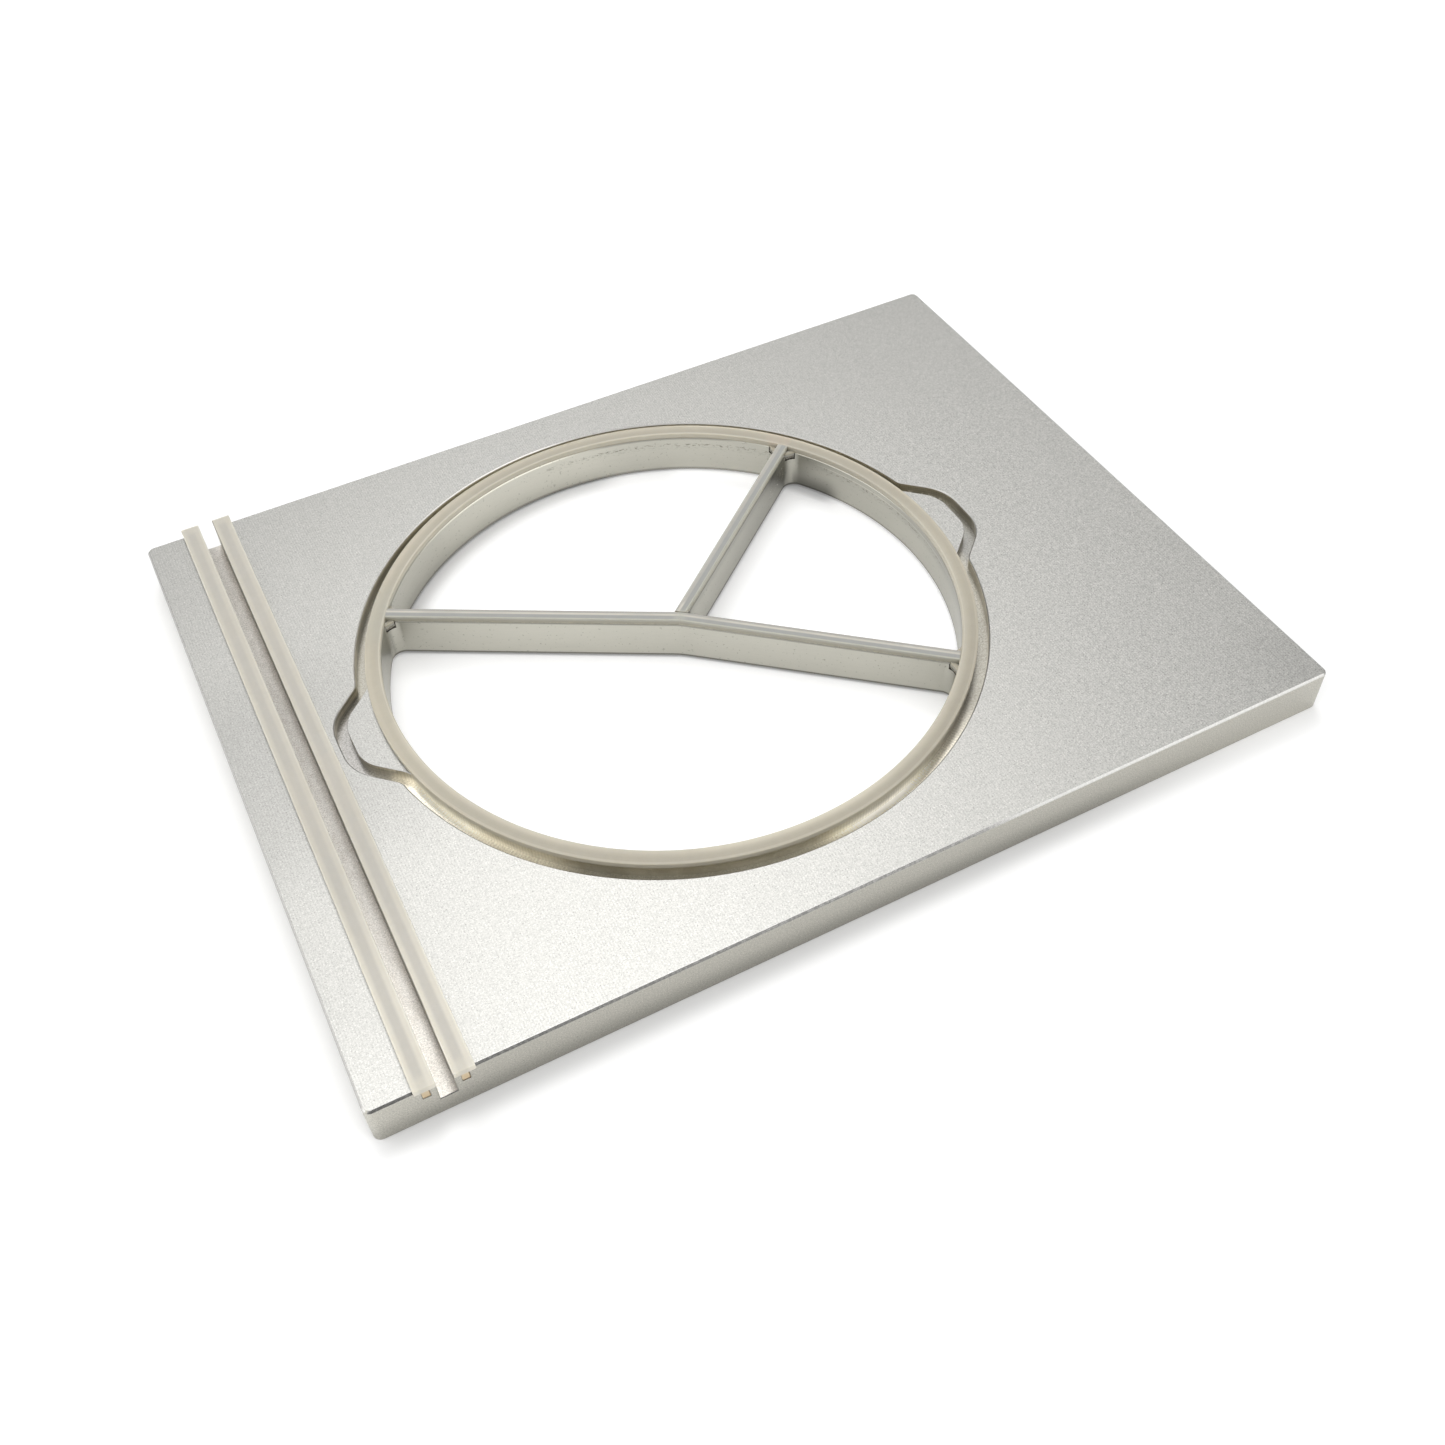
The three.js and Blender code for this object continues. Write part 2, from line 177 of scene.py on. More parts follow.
def groove_outline(inset):
    """The knife groove's outer outline, inset: a circle with an ear at the left and right."""
    radius, reach = GROOVE_R - inset, EAR_REACH - inset
    slope = np.array([math.sin(math.radians(EAR_SLOPE)), math.cos(math.radians(EAR_SLOPE))])
    offset = slope @ np.array(EAR_SHOULDER) - inset
    corner_r, blend_r = EAR_CORNER_R - inset, EAR_BLEND_R + inset
    corner_x = reach - corner_r
    corner = np.array([corner_x, (offset - corner_r - slope[0] * corner_x) / slope[1]])
    blend_reach = radius + blend_r
    slope_angle = angle_of(slope)
    blend_angle = slope_angle - math.degrees(math.acos((offset + blend_r) / blend_reach))
    blend = unit(blend_angle) * blend_reach
    quarter = np.concatenate([
        [[reach, 0.0]],
        arc(corner, corner_r, 0, slope_angle, CORNER_STEPS),
        arc(blend, blend_r, 180 + slope_angle, 180 + blend_angle, CORNER_STEPS),
        arc((0, 0), radius, blend_angle, 90, 100)[1:]])
    return CENTRE + np.concatenate([
        quarter, (quarter * [-1, 1])[::-1][1:],
        (quarter * [-1, -1])[1:], (quarter * [1, -1])[::-1][1:-1]])


def room_outline(first, second, root_r, grow):
    """One room between two webs, its walls moved outward by grow, and its two fillet centres."""
    web_a, web_b = WEBS[first], WEBS[second]
    into_a, into_b = web_a.across, -web_b.across
    face_a = web_a.point + into_a * (WEB_T / 2)
    face_b = web_b.point + into_b * (WEB_T / 2)
    root = crossing(face_a + into_a * root_r, web_a.along, face_b + into_b * root_r, web_b.along)

    def fillet(face, along, into):
        start = face + into * WEB_CORNER_R
        shift, radius = start @ along, OPENING_R - WEB_CORNER_R
        return start + along * (-shift + math.sqrt(shift * shift - start @ start + radius * radius))
    fillet_a = fillet(face_a, web_a.along, into_a)
    fillet_b = fillet(face_b, web_b.along, into_b)
    turns = [angle_of(v) for v in (-into_b, -into_a, fillet_a, fillet_b)]

    def sweep(k):
        start, end = turns[k], turns[(k + 1) % 4]
        while end < start:
            end += 360
        return start, end
    wall = sweep(2)
    wall_steps = max(24, int(round((wall[1] - wall[0]) / 0.9)))
    outline = np.concatenate([
        arc(root, root_r + grow, *sweep(0), 12),
        arc(fillet_a, WEB_CORNER_R + grow, *sweep(1), CORNER_STEPS),
        arc((0, 0), OPENING_R + grow, *wall, wall_steps)[1:-1],
        arc(fillet_b, WEB_CORNER_R + grow, *sweep(3), CORNER_STEPS)])
    return outline + CENTRE, [fillet_a + CENTRE, fillet_b + CENTRE]


def rounded(points):
    """Closed polygon from (x, y, radius) corners, each rounded to its radius."""
    out, count = [], len(points)
    for k in range(count):
        corner, radius = np.array(points[k][:2], float), points[k][2]
        if radius <= 0:
            out.append(corner)
            continue
        back = np.array(points[k - 1][:2], float) - corner
        ahead = np.array(points[(k + 1) % count][:2], float) - corner
        back /= np.linalg.norm(back)
        ahead /= np.linalg.norm(ahead)
        half = math.acos(max(-1, min(1, back @ ahead))) / 2
        tangent = radius / math.tan(half)
        inward = (back + ahead) / np.linalg.norm(back + ahead)
        centre = corner + inward * (radius / math.sin(half))
        start = angle_of(corner + back * tangent - centre)
        end = angle_of(corner + ahead * tangent - centre)
        turn = (end - start + 180) % 360 - 180
        out.extend(arc(centre, radius, start, start + turn, ROUND_STEPS))
    return np.array(out)


# ------------------------------------------------------------------ mesh helpers
def lift(outline, z):
    return np.column_stack([outline, np.full(len(outline), float(z))])


def section(profile, y):
    """An (x, z) profile set upright at y."""
    return np.column_stack([profile[:, 0], np.full(len(profile), y), profile[:, 1]])


def loft(name, loops, ring=False):
    """Skins equal loops into a closed piece, capped, or joined end to end as a ring."""
    size, count, faces = len(loops[0]), len(loops), []
    for k in range(count if ring else count - 1):
        a, b = k * size, ((k + 1) % count) * size
        faces += [(a + i, a + (i + 1) % size, b + (i + 1) % size, b + i) for i in range(size)]
    if not ring:
        faces += [tuple(range(size))[::-1], tuple(range((count - 1) * size, count * size))]
    data = bpy.data.meshes.new(name)
    data.from_pydata(np.concatenate(loops).tolist(), [], faces)
    bm = bmesh.new()
    bm.from_mesh(data)
    bmesh.ops.recalc_face_normals(bm, faces=bm.faces)
    if bm.calc_volume(signed=True) < 0:
        bmesh.ops.reverse_faces(bm, faces=bm.faces)
    bm.to_mesh(data)
    bm.free()
    ob = bpy.data.objects.new(name, data)
    scene.collection.objects.link(ob)
    return ob


def lathe(name, profile):
    """Turns a closed (radius, z) outline about the ring's axis."""
    loops = []
    for k in range(LATHE_STEPS):
        out = unit(360 * k / LATHE_STEPS)
        loops.append(np.column_stack([
            RING_X + profile[:, 0] * out[0], RING_Y + profile[:, 0] * out[1], profile[:, 1]]))
    return loft(name, loops, ring=True)


def prism(name, outline, z0, z1):
    return loft(name, [lift(outline, z0), lift(outline, z1)])


def bar(name, profile, web, start, end):
    """Extrudes a closed (offset, z) outline along a web's line."""
    loops = []
    for reach in (start, end):
        x, y = CENTRE + web.point + web.along * reach
        loops.append(np.column_stack([
            x + web.across[0] * profile[:, 0], y + web.across[1] * profile[:, 0], profile[:, 1]]))
    return loft(name, loops)


def boolean(ob, tools, operation="DIFFERENCE"):
    """Applies the tools to ob in turn and removes them."""
    for tool in tools:
        mod = ob.modifiers.new("b", "BOOLEAN")
        mod.operation, mod.solver, mod.object = operation, "MANIFOLD", tool
    bpy.context.view_layer.update()
    graph = bpy.context.evaluated_depsgraph_get()
    data = bpy.data.meshes.new_from_object(ob.evaluated_get(graph))
    ob.modifiers.clear()
    ob.data = data
    for tool in tools:
        bpy.data.objects.remove(tool)


def place(ob, node):
    """Scales the piece to metres, shades it and puts it on its body in place of its CAD node."""
    data = ob.data
    bm = bmesh.new()
    bm.from_mesh(data)
    bmesh.ops.remove_doubles(bm, verts=bm.verts, dist=2e-4)
    bmesh.ops.dissolve_degenerate(bm, dist=1e-4, edges=bm.edges)
    limit = math.radians(SHARP_ANGLE)
    for face in bm.faces:
        face.smooth = True
    for edge in bm.edges:
        edge.smooth = len(edge.link_faces) == 2 and edge.calc_face_angle(0) < limit
    bm.to_mesh(data)
    bm.free()
    data.transform(Matrix.Scale(0.001, 4))
    mod = ob.modifiers.new("normals", "WEIGHTED_NORMAL")
    mod.mode, mod.weight, mod.keep_sharp = "FACE_AREA", 60, True
    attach(ob, BODY)
    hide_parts(node)


def store(ob, **values):
    """Stores one float per vertex for each name."""
    for name, numbers in values.items():
        attribute = ob.data.attributes.new(name, "FLOAT", "POINT")
        attribute.data.foreach_set("value", np.asarray(numbers, np.float32))


def coords(ob):
    """The placed piece's vertices, in mm."""
    flat = np.zeros(len(ob.data.vertices) * 3, np.float32)
    ob.data.vertices.foreach_get("co", flat)
    return flat.reshape(-1, 3).astype(float) * 1000


# ------------------------------------------------------------------ the plate
# (inset, z) from the underside up, with broken edges
PLATE_LEVELS = [(0.3, 0), (0, 0.3), (0, THICK - 0.8), (0.72, THICK - 0.06), (0.9, THICK)]
# (growth, z) of the room cutters
ROOM_LEVELS = [
    (FLARE + 0.5, -1.0), (FLARE, 0.0), (0.0, FLARE),
    (0.0, THICK - TOP_BREAK), (TOP_BREAK, THICK), (TOP_BREAK + 1, ABOVE)]
# (inset, z) round the section of the knife groove
GROOVE_SECTION = [
    (0, THICK - GROOVE_D), (0, THICK - 0.4), (-1.4, ABOVE),
    (GROOVE_W + 1.2, ABOVE), (GROOVE_W, THICK - 0.2), (GROOVE_W, THICK - GROOVE_D)]

Window = namedtuple("Window", "fillet along across")


def window_at(web, fillet):
    """A window through a web's corner, facing out between the rim and the web."""
    out = fillet - CENTRE
    side = math.copysign(1, web.across @ (out - web.point))
    along = out / np.linalg.norm(out) - web.across * side
    along /= np.linalg.norm(along)
    return Window(fillet, along, left_of(along))


def window_outline(window, start, end, half):
    return [window.fillet + window.along * s + window.across * t
            for s, t in rectangle(start, end, -half, half)]


def cut_rooms(plate):
    """Cuts the three rooms and returns the windows at their outer corners."""
    tools, windows = [], []
    for first, second, root_r in ROOMS:
        tools.append(loft("room", [
            lift(room_outline(first, second, root_r, grow)[0], z) for grow, z in ROOM_LEVELS]))
        fillets = room_outline(first, second, root_r, 0)[1]
        windows += [window_at(WEBS[name], f) for name, f in zip((first, second), fillets)]
    boolean(plate, tools)
    return windows


def cut_seal_slots(plate):
    half, floor = SLOT_W / 2, THICK - SLOT_D
    boolean(plate, [lathe("slot", rectangle(SLOT_R - half, SLOT_R + half, floor, ABOVE))])
    profile = rectangle(-half, half, floor, ABOVE)
    boolean(plate, [
        bar("slot", profile, web, web.slot_start, SLOT_R - web.point @ web.along)
        for web in WEBS.values()])


def cut_channel(plate):
    """The cross-cut channel with eased mouths, and the slots of the two strips."""
    past = 3                        # the cutter runs on past both ends
    half_w = CHANNEL_W / 2
    end = WIDTH / 2
    loops = []
    for y, ease in ((-end - past, MOUTH + past), (-end + MOUTH, 0),
                    (end - MOUTH, 0), (end + past, MOUTH + past)):
        loops.append(section(rectangle(
            CHANNEL_X - half_w - ease, CHANNEL_X + half_w + ease,
            THICK - CHANNEL_D - ease, THICK + 6), y))
    tools = [loft("channel", loops)]
    for x in STRIP_X.values():
        half = STRIP_SLOT_W / 2
        outline = rectangle(x - half, x + half, -end - 5, end + 5)
        tools.append(prism("slot", outline, THICK - STRIP_SLOT_D, ABOVE))
    boolean(plate, tools)


plate = loft("plate", [lift(plate_outline(inset), z) for inset, z in PLATE_LEVELS])
WINDOWS = cut_rooms(plate)
groove_loops = [lift(groove_outline(inset), z) for inset, z in GROOVE_SECTION]
boolean(plate, [loft("knife", groove_loops, ring=True)])
cut_seal_slots(plate)
boolean(plate, [
    prism("window", window_outline(window, WINDOW_IN, WINDOW_OUT, WINDOW_W / 2),
          THICK - WINDOW_H, ABOVE) for window in WINDOWS])
cut_channel(plate)
place(plate, "die_plate")


# ------------------------------------------------------------------ the seals
def inside_rim(gap):
    """Everything within the rim seal's inner edge, less a gap."""
    return prism("inside", arc(CENTRE, RIM_INNER_R - gap, 0, 359, 359), THICK - 12, THICK + 12)


def rim_profile():
    mid, half = (RIM_INNER_R + RIM_OUTER_R) / 2, (RIM_OUTER_R - RIM_INNER_R) / 2

    def crown(radius):
        return SEAL_TOP - (CROWN_R - math.sqrt(CROWN_R * CROWN_R - (radius - mid) ** 2))
    dome = [mid + half * k for k in (0.72, 0.48, 0.24, 0, -0.24, -0.48, -0.72)]
    slot_in, slot_out = SLOT_R - TONGUE_HALF, SLOT_R + TONGUE_HALF
    return rounded([
        (RIM_INNER_R, HEAD_LOW, 0.15), (slot_in, HEAD_LOW, 0), (slot_in, TONGUE_END, 0.3),
        (slot_out, TONGUE_END, 0.3), (slot_out, HEAD_LOW, 0), (RIM_OUTER_R, HEAD_LOW, 0.45),
        (RIM_OUTER_R, crown(RIM_OUTER_R), 0.32)]
        + [(radius, crown(radius), 0) for radius in dome]
        + [(RIM_INNER_R, crown(RIM_INNER_R), 0.36)])


def build_rim_seal():
    rim = lathe("rim_seal", rim_profile())
    tabs = []                       # they fill the windows
    for window in WINDOWS:
        outline = window_outline(
            window, WEB_CORNER_R - 0.15, WEB_CORNER_R + 1.5, WINDOW_W / 2 - 0.25)
        tabs.append(prism("tab", outline, THICK - WINDOW_H + 0.85, THICK + 0.6))
    boolean(rim, tabs, "UNION")
    for web in WEBS.values():       # the tabs stop under the web seals' heads
        profile = rectangle(-HEAD_HALF - GAP, web.head_left + GAP, THICK, SEAL_TOP + 1)
        seat = bar("seat", profile, web, 60, 125)
        boolean(seat, [inside_rim(0.01)], "INTERSECT")
        boolean(rim, [seat])
    place(rim, "rim_seal_ring")
    x, y, z = coords(rim).T
    store(rim,
          across=np.hypot(x - RING_X, y - RING_Y) - SLOT_R,
          along=np.degrees(np.arctan2(y - RING_Y, x - RING_X)),
          rise=z - THICK)
    return rim


def web_profile(head_left):
    return rounded([
        (-HEAD_HALF, HEAD_LOW, 0.15), (-TONGUE_HALF, HEAD_LOW, 0),
        (-TONGUE_HALF, TONGUE_END, 0.3), (TONGUE_HALF, TONGUE_END, 0.3),
        (TONGUE_HALF, HEAD_LOW, 0), (head_left, HEAD_LOW, 0.15),
        (head_left, SEAL_TOP, 0.38), (-HEAD_HALF, SEAL_TOP, 0.38)])


def half_plane(point, angle):
    """Everything left of the line through point (from the ring's centre) at an angle."""
    along, start = unit(angle) * 300, CENTRE + point
    side = left_of(along)
    outline = [start - along, start + along, start + along + side, start - along + side]
    return prism("half", outline, THICK - 12, THICK + 12)


def build_web_seals():
    """The left and front seals meet in a mitre at the hub; the rear one butts against both."""
    left, front = WEBS["left"], WEBS["front"]
    hub = crossing(left.point, left.along, front.point, front.along)
    mitre = (left.angle + front.angle) / 2
    half_gap = left_of(unit(mitre)) * GAP / 2
    butt = HEAD_HALF + GAP
    ends = {                        # (point, angle) of the lines that trim each seal
        "left": [(hub + half_gap, mitre)],
        "front": [(hub - half_gap, mitre + 180)],
        "rear": [(left.point - left.across * butt, left.angle + 180),
                 (front.point + front.across * butt, front.angle)],
    }
    seals = []
    for name, web in WEBS.items():
        ob = bar("divider_seal_" + name + "_visual", web_profile(web.head_left), web, -20, 125)
        boolean(ob, [inside_rim(GAP)] + [half_plane(*end) for end in ends[name]], "INTERSECT")
        place(ob, "divider_seal_" + name)
        points = coords(ob)
        flat = points[:, :2] - CENTRE
        store(ob,
              across=(flat - web.point) @ web.to_front,
              hub=np.hypot(flat[:, 0] - hub[0], flat[:, 1] - hub[1]),
              along=(flat - web.point) @ web.along,
              rise=points[:, 2] - THICK)
        seals.append(ob)
    return seals


def strip_head(x, inset):
    half, low, high = STRIP_W / 2 - inset, HEAD_LOW + inset, SEAL_TOP - inset
    return [x, 0] + rounded([
        (-half, low, 0.3), (half, low, 0.3), (half, high, 0.35), (-half, high, 0.45)])


def build_strip(name, x):
    """A strip seal beside the channel: a head with eased ends over a narrow foot."""
    end = STRIP_L / 2
    stations = [(-end, 0.35), (-end + 0.1, 0.13), (-end + 0.35, 0.0)]       # y, inset
    stations += [(y, 0.0) for y in np.linspace(-end + 8, end - 8, 39)]
    stations += [(end - 0.35, 0.0), (end - 0.1, 0.13), (end, 0.35)]
    ob = loft("cross_cut_seal_" + name + "_visual", [
        section(strip_head(x, inset), y) for y, inset in stations])
    low, high = THICK - STRIP_FOOT_D, THICK + 1.2
    foot = [x, 0] + rounded([
        (-FOOT_HALF, low, 0.5), (FOOT_HALF, low, 0.5), (FOOT_HALF, high, 0), (-FOOT_HALF, high, 0)])
    foot_loops = [section(foot, y) for y in (-STRIP_FOOT_L / 2, STRIP_FOOT_L / 2)]
    boolean(ob, [loft("foot", foot_loops)], "UNION")
    place(ob, "cross_cut_seal_" + name)
    points = coords(ob)
    store(ob, across=points[:, 0] - x, along=points[:, 1], rise=points[:, 2] - THICK)
    return ob


rim_seal = build_rim_seal()
web_seals = build_web_seals()
strip_seals = [build_strip(name, x) for name, x in STRIP_X.items()]

# ------------------------------------------------------------------ node graphs
XYZ = namedtuple("XYZ", "x y z")


class Signal:
    """An output socket of a graph; arithmetic on it adds maths nodes."""

    def __init__(self, graph, socket):
        self.graph, self.socket = graph, socket

    def op(self, kind, other=None):
        return self.graph.maths(kind, self, other)

    def __add__(self, other): return self.op("ADD", other)
    def __sub__(self, other): return self.op("SUBTRACT", other)
    def __mul__(self, other): return self.op("MULTIPLY", other)
    def __radd__(self, other): return self.graph.maths("ADD", other, self)
    def __rsub__(self, other): return self.graph.maths("SUBTRACT", other, self)
    def __abs__(self): return self.op("ABSOLUTE")
    def maximum(self, other): return self.op("MAXIMUM", other)

    def ramp(self, over, to=(0.0, 1.0)):
        """Smooth step between the two values of to, as the signal runs over a span."""
        node = self.graph.new("ShaderNodeMapRange", interpolation_type="SMOOTHSTEP", clamp=True)
        names = ("Value", "From Min", "From Max", "To Min", "To Max")
        for name, value in zip(names, (self, *over, *to)):
            self.graph.put(node.inputs[name], value)
        return Signal(self.graph, node.outputs["Result"])

    def band(self, at, half, soft):
        """1 within half of at, falling to 0 over soft."""
        return abs(self - at).ramp(over=(half, half + soft), to=(1.0, 0.0))

    def around(self, at, half, soft):
        """A band given in degrees on an angle in radians."""
        return self.band(math.radians(at), math.radians(half), math.radians(soft))

    def wave(self, pitch):
        return (self * (2 * math.pi / pitch)).op("SINE")

    def brighter(self, where, by):
        return self * (1 + where * by)

    def darker(self, where, by):
        return self * (1 - where * by)

    def toward(self, colour, where, by=None):
        """This colour, taken towards another where the mask is."""
        return self.graph.mix(where if by is None else where * by, self, colour)


class Graph:
    """Adds nodes to a node tree and hands back their outputs as signals."""

    def __init__(self, tree):
        self.tree = tree
        tree.nodes.clear()

    def new(self, kind, **props):
        node = self.tree.nodes.new(kind)
        for name, value in props.items():
            setattr(node, name, value)
        return node

    def put(self, socket, value):
        if isinstance(value, Signal):
            self.tree.links.new(value.socket, socket)
        elif isinstance(value, tuple) and len(value) == 3 and socket.type == "RGBA":
            socket.default_value = (*value, 1.0)
        else:
            socket.default_value = value

    def maths(self, kind, first, second=None):
        node = self.new("ShaderNodeMath", operation=kind)
        self.put(node.inputs[0], first)
        if second is not None:
            self.put(node.inputs[1], second)
        return Signal(self, node.outputs[0])

    def vector(self, kind, *values, scale=None, output="Vector"):
        node = self.new("ShaderNodeVectorMath", operation=kind)
        for socket, value in zip(node.inputs, values):
            self.put(socket, value)
        if scale is not None:
            self.put(node.inputs["Scale"], scale)
        return Signal(self, node.outputs[output])

    def coordinates(self, name):
        return Signal(self, self.new("ShaderNodeTexCoord").outputs[name])

    def parts(self, vector):
        node = self.new("ShaderNodeSeparateXYZ")
        self.put(node.inputs[0], vector)
        return XYZ(*(Signal(self, output) for output in node.outputs))

    def mix(self, factor, first, second):
        node = self.new("ShaderNodeMix", data_type="RGBA", blend_type="MIX", clamp_factor=True)
        for k, value in ((0, factor), (6, first), (7, second)):
            self.put(node.inputs[k], value)
        return Signal(self, node.outputs[2])

    def gain(self, colour, factor):
        return self.vector("SCALE", colour, scale=factor)


class Material(Graph):
    """A principled material that works on object coordinates in mm."""

    def __init__(self, name):
        self.material = bpy.data.materials.new(name)
        self.material.use_nodes = True
        super().__init__(self.material.node_tree)
        out = self.new("ShaderNodeOutputMaterial")
        self.shader = self.new("ShaderNodeBsdfPrincipled")
        self.tree.links.new(self.shader.outputs["BSDF"], out.inputs["Surface"])
        self.point = self.vector("SCALE", self.coordinates("Object"), scale=1000.0)

    def xyz(self):
        return self.parts(self.point)

    def normal(self):
        node = self.new("ShaderNodeNewGeometry")
        return self.parts(Signal(self, node.outputs["Normal"]))

    def attr(self, name):
        node = self.new("ShaderNodeAttribute", attribute_name=name, attribute_type="GEOMETRY")
        return Signal(self, node.outputs["Fac"])

    def noise(self, scale, detail=2.0, rough=0.5, stretch=None):
        vector = self.vector("MULTIPLY", self.point, stretch) if stretch else self.point
        node = self.new("ShaderNodeTexNoise")
        for name, value in (("Vector", vector), ("Scale", scale),
                            ("Detail", detail), ("Roughness", rough)):
            self.put(node.inputs[name], value)
        return Signal(self, node.outputs["Fac"])

    def bump(self, height, depth, strength):
        node = self.new("ShaderNodeBump")
        for name, value in (("Distance", depth), ("Strength", strength), ("Height", height)):
            self.put(node.inputs[name], value)
        return Signal(self, node.outputs["Normal"])

    def set(self, **values):
        for name, value in values.items():
            self.put(self.shader.inputs[name.replace("_", " ")], value)
        return self.material


def polar(x, y):
    """Offsets, radius and angle in radians about the ring's centre."""
    off_x, off_y = x - RING_X, y - RING_Y
    radius = (off_x * off_x + off_y * off_y).op("SQRT")
    return off_x, off_y, radius, off_y.op("ARCTAN2", off_x)


def bearing(x, y):
    """Angle in degrees about the ring's centre."""
    return (y - RING_Y).op("ARCTAN2", x - RING_X).op("DEGREES")


# ------------------------------------------------------------------ aluminium
# Colours are linear RGB. A tone multiplies the colour; by= is how much a mask changes it.
def blasted_tone(mat, contrast):
    """Bead-blasted grain with light and dark specks."""
    grain = mat.noise(scale=1.5, detail=3, rough=0.8)
    speck = mat.noise(scale=2.1, detail=1, rough=0.6)
    tone = 1 + (grain - 0.5) * contrast
    tone += speck.ramp(over=(0.58, 0.76)) * 0.38
    tone -= speck.ramp(over=(0.42, 0.24)) * 0.36
    return tone, grain, speck


def finish_blasted(mat, colour, tone, grain, speck):
    cloud = mat.noise(scale=0.018, detail=3, rough=0.55)
    tone *= 0.985 + cloud * 0.03
    height = grain * 0.7 + speck * 0.3
    return mat.set(
        Base_Color=mat.gain(colour, tone), Metallic=1.0, Roughness=0.40 + grain * 0.08,
        Normal=mat.bump(height, depth=0.00003, strength=0.6))


def alu_top():
    """Bead-blasted, clear anodised top with faint milling rows."""
    mat = Material("alu_top")
    x, y, _ = mat.xyz()
    # the grain is strongest at the right, towards the front
    right_front = x.ramp(over=(60, 140)) * y.ramp(over=(100, 40))
    contrast = x.ramp(over=(-60, -150), to=(1.12, 1.02)) * (1 + right_front * 0.40)
    tone, grain, speck = blasted_tone(mat, contrast)
    warp = mat.noise(scale=0.06) * 1.4
    row = (x + warp).wave(pitch=1.08)
    weave = (y + warp).wave(pitch=1.35)
    depth = mat.noise(scale=0.03).ramp(over=(0.35, 0.65), to=(0.5, 1))
    tone += row * depth * 0.050
    tone += weave * (row * depth) * 0.035
    # painted shade at the left end and the front right corner, and a painted highlight at the front
    # left corner
    tone = tone.darker(y.band(at=0, half=22, soft=50) * x.ramp(over=(-105, -150)), by=0.12)
    tone = tone.darker(y.ramp(over=(-100, -145)) * x.ramp(over=(150, 195)), by=0.09)
    tone = tone.brighter(y.ramp(over=(-105, -150)) * x.ramp(over=(-165, -195)), by=0.10)
    return finish_blasted(mat, (0.462, 0.457, 0.436), tone, grain, speck)


def alu_side():
    """Milled sides: a little warmer, with painted shade and light near the floor and a painted
    highlight towards the left end.
    """
    mat = Material("alu_side")
    x, _, z = mat.xyz()
    tone, grain, speck = blasted_tone(mat, contrast=1.12)
    # painted reflection of the floor's shade: darker near the floor, lighter there at the right end,
    # and a painted highlight towards the left end
    painted_low_light = x.ramp(over=(60, 190), to=(0.84, 1.10))
    tone *= painted_low_light + z.ramp(over=(1, 12)) * (1.03 - painted_low_light)
    tone *= x.ramp(over=(-150, -188), to=(1, 1.12))
    streak = mat.noise(scale=1, detail=3, rough=0.6, stretch=(0.02, 0.02, 1.2))
    tone *= 0.97 + streak * 0.06
    return finish_blasted(mat, (0.462, 0.450, 0.405), tone, grain, speck)


